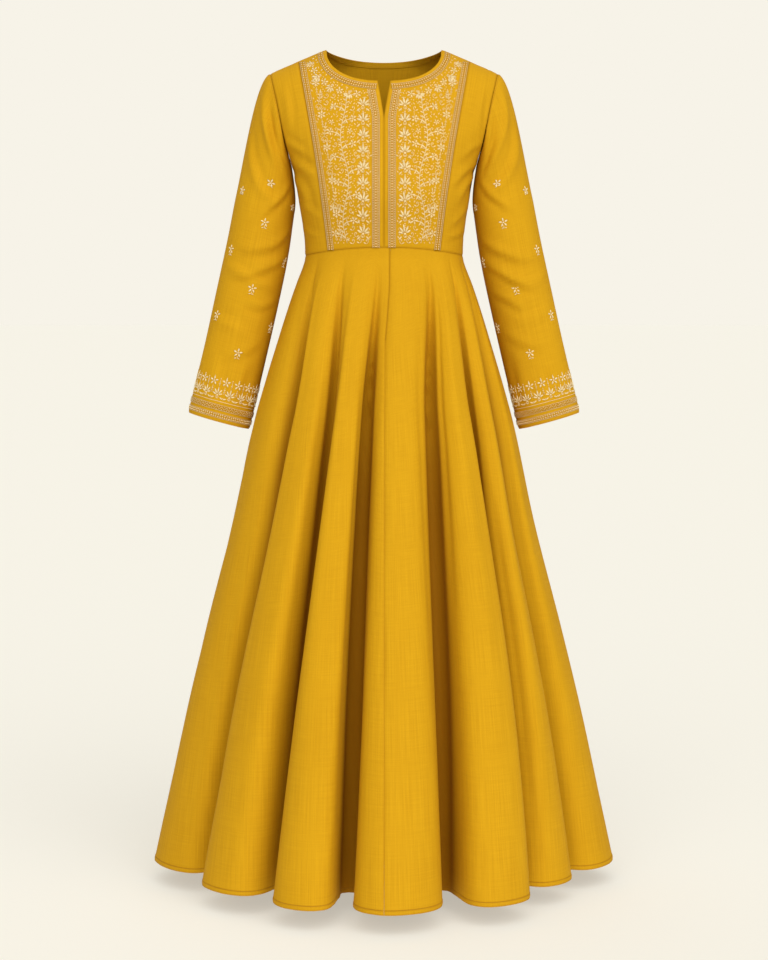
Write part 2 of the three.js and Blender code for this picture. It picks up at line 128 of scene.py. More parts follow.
# Sleeve sections: height, centre, half width, half depth, tip in degrees.
SLEEVE = (
    (-251.5, 193.5, 49.2, 50, 13), (-318, 205, 51, 49, 13), (-385.5, 219.5, 51.6, 47, 13),
    (-490, 243.5, 51.4, 42, 14), (-598, 270, 51.8, 37, 15.5),
)
# Skirt folds: the valley's bearing at the hip, the knee and the hem, its depth, the share that the
# fold opens to, and how far its crest stands outside the form.
FOLDS = (
    (-96, -98, -107, 96, 0.22, -5), (-59, -53, -67, 98, 0.2, 4), (-35, -31, -37, 96, 0.2, 14),
    (-5, -10.5, -12.5, 96, 0.2, 3), (38, 28, 21.5, 92, 0.22, 20), (58, 52, 49, 90, 0.22, -14),
    (74, 66, 72, 86, 0.22, -6), (100, 104, 104, 98, 0.22, 6), (121, 122, 124, 94, 0.26, 12),
    (144, 146, 146, 100, 0.22, 2), (163, 166, 168, 96, 0.24, 4), (199, 197, 196, 102, 0.22, -4),
    (222, 219, 218, 94, 0.26, 14), (243, 240, 241, 98, 0.22, 4),
)
# The seams of the skirt panels: the fold that each lies on, and its bearing.
SKIRT_PANELS = (
    ("front_left", (3, 0), (6, 89)), ("back_left", (6, 89), (10, 180)),
    ("back_right", (10, 180), (14, 272)), ("front_right", (14, 272), (17, 360)),
)


# ---- Curves and the body form ----


def mix(a: Array, b: Array, share: Array) -> Array:
    """The value at a share of the way from a to b."""
    return a + (b - a) * share


def smooth(low: float, high: float, value: Array) -> Array:
    """An even rise from 0 at low to 1 at high."""
    t = np.clip((value - low) / (high - low), 0, 1)
    return t * t * (3 - 2 * t)


class Curve:
    """A smooth curve through a table's rows, which run downwards."""

    def __init__(self, heights: Array, values: Array) -> None:
        """Keeps the rows, with the slope at each.

        Args:
            heights: the rows' heights, falling.
            values: the value at each height.
        """
        self.heights = np.asarray(heights, float)
        self.values = np.asarray(values, float)
        rows = np.arange(len(self.heights))
        above = np.maximum(rows - 1, 0)
        below = np.minimum(rows + 1, rows[-1])
        run = self.heights[above] - self.heights[below]
        self.slopes = (self.values[above] - self.values[below]) / run

    def __call__(self, z: Array) -> Array:
        """The value at height z.

        Args:
            z: the height.

        Returns:
            One value for each height.
        """
        h, v = self.heights, self.values
        at = np.clip(z, h[-1], h[0])
        i = np.clip(np.searchsorted(-h, -at, side="right") - 1, 0, len(h) - 2)
        step = h[i + 1] - h[i]
        t = (at - h[i]) / step
        rise = v[i + 1] - v[i]
        start, end = self.slopes[i] * step, self.slopes[i + 1] * step
        return v[i] + t * (start + t * (3 * rise - 2 * start - end + t * (start + end - 2 * rise)))


def columns(table: tuple, scale: tuple) -> list[Curve]:
    """One curve for each column of a table after its first, which holds the heights.

    Args:
        table: the rows, in millimetres and degrees.
        scale: what each column after the first is multiplied by.

    Returns:
        The curves, in the table's order.
    """
    rows = np.array(table, float)
    return [Curve(rows[:, 0] * MM, rows[:, k + 1] * scale[k]) for k in range(len(scale))]


class Form:
    """The wearer's form that the cloth is shaped on, by level sections."""

    half, front, back = columns(FORM, (MM, MM, MM))
    princess = columns(PRINCESS, (MM,))[0]
    armhole = columns(ARMHOLE, (MM,))[0]

    @staticmethod
    def drop(z: Array) -> Array:
        """How far down the skirt a height is, from 0 at the waist to 1 at the hem."""
        return np.clip((-WAIST - z) / (LENGTH - WAIST), 0, 1)

    @classmethod
    def power(cls, z: Array) -> Array:
        """How square the level section is."""
        return mix(CHEST_POWER, HEM_POWER, cls.drop(z))

    @staticmethod
    def shoulder(x: Array) -> Array:
        """Height of the shoulder line at a distance from the centre."""
        return -SHOULDER_DROP * (x - NECK_HALF) / (SHOULDER_HALF - NECK_HALF)

    @staticmethod
    def waist(x: Array) -> Array:
        """Height of the waist seam at a distance from the centre."""
        return -WAIST - WAIST_DIP * (x / WAIST_HALF) ** 2

    @classmethod
    def bearing(cls, x: Array, z: Array) -> Array:
        """The bearing on a level section of the point at distance x, in radians."""
        return np.arcsin(np.minimum(1, (x / cls.half(z)) ** (cls.power(z) / 2)))

    @classmethod
    def offset(cls, angle: Array, z: Array) -> Array:
        """The distance from the centre of the point at a bearing."""
        return cls.half(z) * np.maximum(np.sin(angle), 0) ** (2 / cls.power(z))

    @classmethod
    def point(cls, face: Face, x: Array, z: Array) -> Array:
        """A point of the bodice's outer face.

        Args:
            face: the front or the back.
            x: the distance from the centre.
            z: the height.

        Returns:
            The points, with their three coordinates last.
        """
        x, z = np.broadcast_arrays(np.asarray(x, float), np.asarray(z, float))
        square = cls.power(z)
        bow = (1 - np.minimum(np.abs(x) / cls.half(z), 1) ** square) ** (1 / square)
        over = np.clip((z - cls.shoulder(np.abs(x))) / SHOULDER_ROLL + 1, 0, 1)
        depth = (cls.front if face is Face.FRONT else cls.back)(z)
        depth = np.maximum(depth * bow * np.sqrt(1 - over * over), SEAM / 2)
        return np.stack([x, face.value * depth, z], -1)


# ---- Meshes ----


def shares(count: int, edges: tuple[float, ...] = ()) -> Array:
    """Equal steps from 0 to 1, with more close to both ends where edges gives their places."""
    near = np.array(edges)
    return np.unique(np.concatenate([np.linspace(0, 1, count + 1), near, 1 - near]))


def grid_normals(points: Array, ring: bool = False) -> Array:
    """The outward directions of a grid whose first index runs across and second upwards.

    Args:
        points: the grid's points.
        ring: whether the grid closes on itself across.

    Returns:
        One unit vector for each point.
    """
    if ring:
        wrapped = np.concatenate([points[-2:-1], points, points[1:2]])
        across = wrapped[2:] - wrapped[:-2]
    else:
        across = np.gradient(points, axis=0)
    return unit(np.cross(across, np.gradient(points, axis=1)))


def run_lengths(points: Array, axis: int) -> Array:
    """The length along each grid line from its start, in metres.

    Args:
        points: the grid's points.
        axis: the direction of the lines.

    Returns:
        One length for each point.
    """
    steps = np.linalg.norm(np.diff(points, axis=axis), axis=-1)
    total = np.cumsum(steps, axis=axis)
    start = np.zeros_like(np.take(total, [0], axis=axis))
    return np.concatenate([start, total], axis=axis)


def edge_distances(points: Array) -> dict[str, Array]:
    """How far each point lies from the left, right, bottom and top edge, along the cloth.

    Args:
        points: the grid's points.

    Returns:
        The distances in metres, by the letters l, r, b and t.
    """
    across, upward = run_lengths(points, 0), run_lengths(points, 1)
    return {"l": across, "r": across[-1:] - across, "b": upward, "t": upward[:, -1:] - upward}


def unit(vectors: Array) -> Array:
    """The vectors at a length of one, with their coordinates last."""
    return vectors / np.maximum(np.linalg.norm(vectors, axis=-1, keepdims=True), 1e-12)


def cell_corners(rows: int, upwards: int) -> list[tuple[Array, Array]]:
    """The index pairs of each grid cell's four corners, in turn.

    Args:
        rows: how many points the grid has across.
        upwards: how many it has upwards.

    Returns:
        Four pairs, each of first and second indices.
    """
    i, j = np.meshgrid(np.arange(rows - 1), np.arange(upwards - 1), indexing="ij")
    return [(i, j), (i + 1, j), (i + 1, j + 1), (i, j + 1)]


def sheet_area(points: Array) -> float:
    """The area of a grid of points, in square metres."""
    a = points[1:, :-1] - points[:-1, :-1]
    b = points[:-1, 1:] - points[:-1, :-1]
    return float(np.linalg.norm(np.cross(a, b), axis=-1).sum())


def mesh_object(name: str, points: Array, faces: Array) -> bpy.types.Object:
    """Makes an object from points and faces.

    Args:
        name: the object's name.
        points: one row for each vertex.
        faces: vertex numbers, three or four in each row.

    Returns:
        The object, linked to the scene and smooth.
    """
    mesh = bpy.data.meshes.new(name)
    mesh.from_pydata(points.reshape(-1, 3).tolist(), [], faces.tolist())
    mesh.polygons.foreach_set("use_smooth", np.ones(len(mesh.polygons), bool))
    mesh.update()
    piece = bpy.data.objects.new(name, mesh)
    bpy.context.scene.collection.objects.link(piece)
    return piece


def apply_modifier(piece: bpy.types.Object, kind: str, **settings: object) -> None:
    """Adds a modifier with these settings to a piece and applies it.

    Args:
        piece: the piece.
        kind: the modifier's type.
        settings: its settings.
    """
    bpy.ops.object.select_all(action="DESELECT")
    piece.select_set(True)
    bpy.context.view_layer.objects.active = piece
    modifier = piece.modifiers.new(kind.title(), kind)
    for key, value in settings.items():
        setattr(modifier, key, value)
    bpy.ops.object.modifier_apply(modifier=modifier.name)


# ---- Creases ----


@dataclass(frozen=True)
class Crease:
    """A soft ridge along a curved line, with a trough beside it. It tapers to both ends."""

    line: tuple[tuple[float, float], ...]
    rise: float
    width: float
    trough: float = 0.7

    def height(self, across: Array, along: Array) -> Array:
        """How far the crease lifts the cloth.

        Args:
            across: the first coordinate of each point, in millimetres.
            along: the second coordinate, in millimetres.

        Returns:
            The lift at each point, in metres.
        """
        knots = np.array(self.line, float)
        t = np.linspace(0, len(knots) - 1, 4 * len(knots))
        index = np.arange(len(knots))
        fine = np.stack([np.interp(t, index, knots[:, k]) for k in (0, 1)], -1)
        for _ in range(2):
            fine[1:-1] = (fine[:-2] + 2 * fine[1:-1] + fine[2:]) / 4
        best = np.full(across.shape, 1e9)
        side = np.zeros(across.shape)
        place = np.zeros(across.shape)
        for k in range(len(fine) - 1):
            start, run = fine[k], fine[k + 1] - fine[k]
            length = math.hypot(*run)
            dx, dz = across - start[0], along - start[1]
            u = np.clip((dx * run[0] + dz * run[1]) / length**2, 0, 1)
            away = np.hypot(dx - u * run[0], dz - u * run[1])
            nearer = away < best
            best = np.where(nearer, away, best)
            turn = np.sign(run[0] * dz - run[1] * dx)
            side = np.where(nearer, turn * away, side)
            place = np.where(nearer, (k + u) / (len(fine) - 1), place)
        taper = np.sin(np.pi * np.clip(place, 0.02, 0.98)) ** 0.8
        d = side / self.width
        beyond = np.maximum(best - np.abs(side), 0) / self.width
        bump = np.exp(-d * d) - self.trough * np.exp(-(((d - 1.5) / 0.9) ** 2))
        return self.rise * MM * taper * bump * np.exp(-beyond * beyond)


def lift(creases: tuple[Crease, ...], across: Array, along: Array) -> Array:
    """The lift of several creases together, in metres, from coordinates in metres.

    Args:
        creases: the creases.
        across: first coordinates.
        along: second coordinates.

    Returns:
        The lift at each point.
    """
    total = np.zeros(np.broadcast(across, along).shape)
    for crease in creases:
        total = total + crease.height(across / MM, along / MM)
    return total


def crease_rows(*rows: tuple[float, ...]) -> tuple[Crease, ...]:
    """Creases, each from its rise, its width and its line's coordinates in turn."""
    return tuple(Crease(tuple(zip(row[2::2], row[3::2])), row[0], row[1]) for row in rows)


# Creases by the distance from the centre, positive on the wearer's left, and the height.
FRONT_CREASES = crease_rows(
    (2.6, 6, 150, -180, 128, -196, 108, -222), (2.9, 6.5, -150, -176, -130, -190, -106, -208),
    (2.2, 5.5, 146, -196, 130, -218, 116, -250), (2.0, 5.5, -146, -200, -128, -226, -118, -262),
    (1.6, 5, 160, -150, 140, -160, 122, -178), (1.8, 5, -162, -146, -142, -158, -124, -170),
    (1.7, 4.5, 132, -252, 122, -268, 104, -286), (1.6, 5, -132, -246, -120, -258, -100, -270),
    (1.5, 4, 130, -290, 116, -298, 98, -304), (1.4, 4, -130, -284, -116, -296, -98, -300),
    (0.9, 9, 78, -196, 84, -250, 80, -300), (0.9, 9, -76, -190, -82, -250, -78, -302),
    (1.3, 6, 160, -62, 152, -100, 150, -140), (1.3, 6, -160, -60, -153, -96, -150, -136),
)
BACK_CREASES = crease_rows(
    (2.6, 7, 148, -184, 118, -202, 84, -214), (2.8, 7.5, -148, -180, -120, -204, -78, -222),
    (1.8, 8, 150, -150, 120, -176, 70, -190), (1.7, 8, -152, -150, -116, -168, -60, -180),
    (2.2, 7, 118, -240, 70, -262, 22, -268), (2.0, 7.5, -120, -236, -74, -256, -14, -258),
    (1.9, 5.5, 122, -284, 80, -294, 30, -292), (2.0, 6, -120, -276, -70, -290, -20, -286),
    (1.6, 9, 60, -190, 52, -250, 58, -306), (1.5, 9, -56, -196, -50, -250, -60, -304),
    (1.4, 9, 90, -40, 110, -90, 130, -130), (1.4, 9, -94, -42, -112, -92, -132, -134),
    (0.9, 14, 0, -40, -6, -100, 4, -160),
)
# Creases of the sleeve by the way round in millimetres, with the front at 80, and the height.
LEFT_SLEEVE_CREASES = crease_rows(
    (3.0, 7, 34, -62, 52, -120, 84, -172, 112, -205), (2.4, 6, 58, -96, 78, -146, 104, -188),
    (2.4, 8, 22, -110, 40, -170, 76, -216, 118, -240), (2.0, 7, 128, -205, 96, -238, 62, -262),
    (3.0, 7.5, 142, -300, 104, -322, 70, -336, 38, -330),
    (2.6, 7, 146, -338, 110, -352, 78, -376, 50, -384),
    (1.8, 7, 20, -356, 52, -372, 90, -368, 128, -352), (2.0, 7, 138, -386, 106, -398, 76, -420),
    (1.3, 8, 30, -410, 66, -430, 104, -436), (1.3, 9, 130, -450, 94, -470, 60, -478),
    (1.2, 9, 60, -500, 56, -540, 64, -580), (1.4, 10, 108, -490, 112, -540, 106, -584),
    (2.2, 9, 200, -90, 214, -150, 200, -210), (2.0, 9, 250, -100, 240, -170, 204, -230),
    (2.6, 8, 180, -310, 220, -334, 262, -340), (2.2, 8, 184, -360, 226, -378, 266, -372),
    (1.4, 11, 230, -480, 236, -540, 228, -586), (1.2, 12, 290, -420, 284, -480, 296, -540),
)
RIGHT_SLEEVE_CREASES = crease_rows(
    (2.8, 7.5, 30, -58, 56, -116, 88, -166, 120, -196), (2.6, 6.5, 52, -100, 74, -152, 98, -200),
    (2.2, 8, 18, -124, 42, -180, 72, -228, 110, -252), (2.2, 7, 132, -212, 102, -244, 70, -274),
    (2.8, 7.5, 144, -286, 110, -314, 74, -322, 40, -312),
    (2.6, 7, 148, -330, 112, -346, 72, -362, 40, -360),
    (2.0, 7, 22, -342, 58, -354, 96, -376, 132, -380), (1.8, 7, 140, -402, 110, -412, 80, -404),
    (1.5, 8, 26, -430, 60, -440, 98, -458), (1.2, 9, 128, -462, 96, -486, 58, -490),
    (1.3, 10, 54, -496, 62, -540, 58, -584), (1.3, 9, 104, -500, 100, -546, 108, -586),
    (2.1, 9, 204, -86, 212, -140, 196, -206), (2.2, 9, 256, -96, 238, -160, 208, -226),
    (2.4, 8, 182, -300, 222, -320, 264, -332), (2.4, 8, 186, -350, 228, -372, 268, -380),
    (1.3, 11, 224, -470, 232, -536, 226, -586), (1.3, 12, 286, -400, 292, -470, 284, -540),
)
SLEEVE_ROUND = 322 * MM


# ---- Cloth pieces ----


@dataclass
class ClothPiece:
    """One cut piece: a grid of points that is creased, rolled at its seams and thickened."""

    name: str
    node: str
    points: Array
    ring: bool = False
    rests_on: tuple[str, ...] = ()
    lifts: Array | None = None
    roll_edges: str = "lrbt"
    roll_depth: float = 0.9 * MM
    roll_width: float = 2.2 * MM
    thickness: float = CLOTH
    # Painted shade of each point, from 0 to 1, given by some pieces: in the skirt's folds and under
    # the arms.
    hollow: Array | None = None
    # Painted shade along the rolled seams and edges.
    seam_tone: float = 0.32

    def edge_share(self) -> Array:
        """How close each point is to an edge that is sewn or turned under, from 0 to 1.

        Returns:
            One share for each point.
        """
        away = edge_distances(self.points)
        total = np.zeros(self.points.shape[:2])
        for edge in self.roll_edges:
            total = np.maximum(total, np.exp(-((away[edge] / self.roll_width) ** 2)))
        return total

    def outer(self) -> tuple[Array, Array]:
        """The points of the outer face with its creases and rolled edges, and its directions.

        Returns:
            The points, and one unit vector for each.
        """
        normals = grid_normals(self.points, self.ring)
        raised = -self.roll_depth * self.edge_share()
        if self.lifts is not None:
            raised = raised + self.lifts
        return self.points + normals * raised[..., None], normals

    def cloth_uvs(self) -> Array:
        """Places on the cloth in metres: across from the middle by share, and up from below."""
        across, upward = run_lengths(self.points, 0), run_lengths(self.points, 1)
        share = across / across[-1:] - 0.5
        return np.stack([share * across[-1].mean(), upward], -1)

    def build(self) -> bpy.types.Object:
        """Makes the piece's mesh, with its outer face on the points.

        Returns:
            The finished object.
        """
        finished, _ = self.outer()
        n, m = finished.shape[:2]
        corners = cell_corners(n, m)
        plain = np.stack([a * m + b for a, b in corners], -1).reshape(-1, 4)
        used = np.stack([(a % (n - 1) if self.ring else a) * m + b for a, b in corners], -1)
        kept = finished[:-1] if self.ring else finished
        piece = mesh_object(self.name, kept, used.reshape(-1, 4))
        layer = piece.data.uv_layers.new(name="cloth")
        flat = self.cloth_uvs().reshape(-1, 2)[plain.ravel()].astype(np.float32)
        layer.data.foreach_set("uv", flat.ravel())
        # Painted shade: darker along the rolled seams and edges, and wherever the piece is given
        # painted shade of its own.
        deep = self.seam_tone * self.edge_share() ** 2
        if self.hollow is not None:
            deep = np.maximum(deep, self.hollow)
        deep = deep[:-1] if self.ring else deep
        tone = piece.data.attributes.new("hollow", "FLOAT", "POINT")
        tone.data.foreach_set("value", deep.ravel().astype(np.float32))
        apply_modifier(piece, "SOLIDIFY", thickness=self.thickness, offset=-1.0)
        bpy.ops.object.shade_smooth_by_angle(angle=math.radians(65))
        return piece

    def flat_size(self) -> tuple[tuple[float, float], float]:
        """The piece's flat width and length, and its flat area."""
        across, upward = run_lengths(self.points, 0), run_lengths(self.points, 1)
        return (float(across[-1].max()), float(upward[:, -1].max())), sheet_area(self.points)

    def finish(self, cloth: bpy.types.Material, trims: list[bpy.types.Object]) -> bpy.types.Object:
        """Builds and dresses the piece, and logs its flat size and area.

        Args:
            cloth: the piece's material.
            trims: the tapes and embroidery that are sewn on it; not used.

        Returns:
            The finished object.
        """
        piece = self.build()
        piece.data.materials.append(cloth)
        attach(piece, "root")
        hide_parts(self.node)
        flat, area = self.flat_size()
        rests_on = list(self.rests_on)
        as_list(trims)
        LOG.info("%s: flat %.3f x %.3f m, %.4f m2", self.name, *flat, area)
        return piece


@dataclass(frozen=True)
class Bodice:
    """The surfaces of the bodice: yokes, side fronts, back and the facing inside the back neck."""

    yoke_columns: int = 52
    side_columns: int = 24
    back_columns: int = 88
    facing_columns: int = 64
    facing_rows: int = 8
    facing_thickness: float = 0.6 * MM
    near_seam: tuple[float, ...] = (0.004, 0.01, 0.018)
    crease_fade: float = 9 * MM
    underarm_gain: float = 0.5
    rows: ClassVar[Array] = shares(76, (0.003, 0.008))
    notch_bearing: ClassVar[float] = math.asin((NOTCH_HALF / NECK_HALF) ** (NECK_POWER / 2))

    @staticmethod
    def column_height(v: Array, bottom: Array, top_x: Array, top_z: Array) -> Array:
        """The height at share v of a column up to a top point, spaced evenly as it rolls over.

        Args:
            v: shares upwards.
            bottom: where the column starts.
            top_x: the top point's x.
            top_z: its height.

        Returns:
            The heights.
        """
        base = Form.shoulder(top_x) - SHOULDER_ROLL
        rise = np.clip((top_z - base) / SHOULDER_ROLL, 0, 1)
        arc = np.where(rise > 0, base + SHOULDER_ROLL * np.arcsin(rise), top_z)
        upper = mix(-UNDERARM, arc, (v - UNDERARM_SHARE) / (1 - UNDERARM_SHARE))
        turned = base + SHOULDER_ROLL * np.sin((upper - base) / SHOULDER_ROLL)
        upper = np.where(upper > base, turned, upper)
        return np.where(v <= UNDERARM_SHARE, mix(bottom, -UNDERARM, v / UNDERARM_SHARE), upper)

    @classmethod
    def surface(cls, face: Face, x_at: Surface, top_at: Callable, s: Array, v: Array) -> Array:
        """Points of one panel.

        Args:
            face: the front or the back.
            x_at: the panel's own x at a share across and a height.
            top_at: x and z of its upper edge at a share across.
            s: shares across.
            v: shares upwards.

        Returns:
            The points.
        """
        top_x, top_z = top_at(s)
        start = Form.waist(x_at(s, np.full_like(s, -WAIST))) + SEAM / 2
        z = cls.column_height(v, start, top_x, top_z)
        turn = np.clip((v - UNDERARM_SHARE) / (1 - UNDERARM_SHARE), 0, 1) ** 2
        x = x_at(s, z) + (top_x - x_at(s, top_z)) * turn
        return Form.point(face, x, z)

    @staticmethod
    def notch_half(z: Array) -> Array:
        """Half the width of the centre slit."""
        opened = np.clip((z + NECK_DROP_FRONT + NOTCH_DEPTH) / NOTCH_DEPTH, 0, 1)
        return np.maximum(SEAM / 2, NOTCH_HALF * opened**1.15)

    @staticmethod
    def neckline(angle: Array, spread: float = 0.0) -> tuple[Array, Array]:
        """x and z of the front neckline at a bearing from the centre, spread outwards."""
        x = (NECK_HALF + spread) * np.maximum(np.sin(angle), 0) ** (2 / NECK_POWER)
        z = -(NECK_DROP_FRONT + spread) * np.maximum(np.cos(angle), 0) ** (2 / NECK_POWER)
        return x, np.minimum(z, Form.shoulder(x))

    @classmethod
    def yoke_top(cls, s: Array) -> tuple[Array, Array]:
        """The yoke's upper edge: the neckline from the notch, then the shoulder seam.

        Args:
            s: shares across.

        Returns:
            x and z.
        """
        round_neck = np.clip(s / NECK_SHARE, 0, 1)
        neck_x, neck_z = cls.neckline(mix(cls.notch_bearing, math.pi / 2, round_neck))
        edge = PRINCESS[0][1] * MM - SEAM / 2
        x = mix(NECK_HALF, edge, (s - NECK_SHARE) / (1 - NECK_SHARE))
        low = s < NECK_SHARE
        return np.where(low, neck_x, x), np.where(low, neck_z, Form.shoulder(x))

    @classmethod
    def yoke(cls, s: Array, v: Array) -> Array:
        """The wearer's left yoke.

        Args:
            s: shares across.
            v: shares upwards.

        Returns:
            The points.
        """

        def x_at(s: Array, z: Array) -> Array:
            """The yoke's x at a share across and a height."""
            return mix(cls.notch_half(z), Form.princess(z) - SEAM / 2, s)

        return cls.surface(Face.FRONT, x_at, cls.yoke_top, s, v)

    @staticmethod
    def side_bearing(z: Array) -> Array:
        """The outer edge of the side front and the back: the side seam, then the armhole."""
        return np.where(z < -UNDERARM, math.pi / 2, Form.bearing(Form.armhole(z), z))

    @classmethod
    def side_front(cls, s: Array, v: Array) -> Array:
        """The wearer's left side front.

        Args:
            s: shares across.
            v: shares upwards.

        Returns:
            The points.
        """

        def top(s: Array) -> tuple[Array, Array]:
            """The outer part of the shoulder seam."""
            x = mix(PRINCESS[0][1] * MM + SEAM / 2, SHOULDER_HALF, s)
            return x, Form.shoulder(x)

        def x_at(s: Array, z: Array) -> Array:
            """The side front's x at a share across and a height."""
            inner = Form.bearing(Form.princess(z) + SEAM / 2, z)
            return Form.offset(mix(inner, cls.side_bearing(z), s), z)

        return cls.surface(Face.FRONT, x_at, top, s, v)

    @classmethod
    def half_back(cls, s: Array, v: Array) -> Array:
        """The back from its centre to the wearer's left side.

        Args:
            s: shares across.
            v: shares upwards.

        Returns:
            The points.
        """

        def top(s: Array) -> tuple[Array, Array]:
            """The back neckline, then the shoulder seam, at a share across.

            Args:
                s: shares across.

            Returns:
                x and z.
            """
            neck = NECK_HALF * np.sin(np.pi * np.minimum(s, BACK_NECK_SHARE) / 2 / BACK_NECK_SHARE)
            x = mix(NECK_HALF, SHOULDER_HALF, (s - BACK_NECK_SHARE) / (1 - BACK_NECK_SHARE))
            low = s < BACK_NECK_SHARE
            neck_z = -NECK_DROP_BACK * (1 - (neck / NECK_HALF) ** 2)
            return np.where(low, neck, x), np.where(low, neck_z, Form.shoulder(x))

        def x_at(s: Array, z: Array) -> Array:
            """The back's x at a share across and a height."""
            return Form.offset(s * cls.side_bearing(z), z)

        return cls.surface(Face.BACK, x_at, top, s, v)

    @classmethod
    def back(cls, s: Array, v: Array) -> Array:
        """The whole back, from the wearer's left side to the right.

        Args:
            s: shares across.
            v: shares upwards.

        Returns:
            The points.
        """
        across = 1 - 2 * s
        points = cls.half_back(np.abs(across), v)
        points[..., 0] *= np.where(across < 0, -1, 1)
        return points

    @staticmethod
    def creases(points: Array, face: Face, free: str) -> Array:
        """The lifts of the bodice's creases, which die out along the edges named in free.

        Args:
            points: the panel's points.
            face: the front or the back.
            free: the edges where the cloth is held, as l, r, b and t.

        Returns:
            The lift of each point, in metres.
        """
        table = FRONT_CREASES if face is Face.FRONT else BACK_CREASES
        total = lift(table, points[..., 0], points[..., 2])
        outer_part = smooth(80 * MM, 110 * MM, np.abs(points[..., 0]))
        total = total * (1 + Bodice.underarm_gain * outer_part)
        away = edge_distances(points)
        for edge in free:
            total = total * smooth(0, Bodice.crease_fade, away[edge])
        return total

    @classmethod
    def pieces(cls, side: Side) -> list[ClothPiece]:
        """The yoke and the side front of one side.

        Args:
            side: the wearer's side.

        Returns:
            The two pieces.
        """
        made = []
        for name, surface, count in (
            ("yoke", cls.yoke, cls.yoke_columns),
            ("side_front", cls.side_front, cls.side_columns),
        ):
            s, v = np.meshgrid(shares(count, cls.near_seam), cls.rows, indexing="ij")
            points = surface(s, v)
            if side is Side.RIGHT:
                points = points[::-1] * np.array([-1, 1, 1])
            outer = "" if name == "yoke" else ("r" if side is Side.LEFT else "l")
            made.append(
                ClothPiece(
                    name=f"{name}_{side.word}_cloth",
                    node=f"bodice_{name}_{side.word}",
                    points=points,
                    lifts=cls.creases(points, Face.FRONT, "bt" + outer),
                    rests_on=("back_cloth",),
                )
            )
        return made

    @classmethod
    def back_piece(cls) -> ClothPiece:
        """The back bodice, in one piece.

        Returns:
            The piece.
        """
        columns_across = shares(cls.back_columns, cls.near_seam[:2])
        s, v = np.meshgrid(columns_across, cls.rows, indexing="ij")
        points = cls.back(s, v)
        lifts = cls.creases(points, Face.BACK, "lrbt")
        return ClothPiece("back_cloth", "bodice_back", points, lifts=lifts)

    @classmethod
    def facing_piece(cls) -> ClothPiece:
        """The band inside the back neckline.

        Returns:
            The piece.
        """
        inner = (1 - BACK_NECK_SHARE) / 2
        across, upward = shares(cls.facing_columns), shares(cls.facing_rows)
        s, v = np.meshgrid(across, upward, indexing="ij")
        points = cls.back(mix(inner, 1 - inner, s), mix(FACING_LINE, 1, v))
        points = points - grid_normals(points) * (CLOTH + TRIM_LIFT)
        return ClothPiece(
            "neck_facing_cloth",
            "neck_facing_back",
            points,
            rests_on=("back_cloth",),
            roll_edges="",
            thickness=cls.facing_thickness,
        )


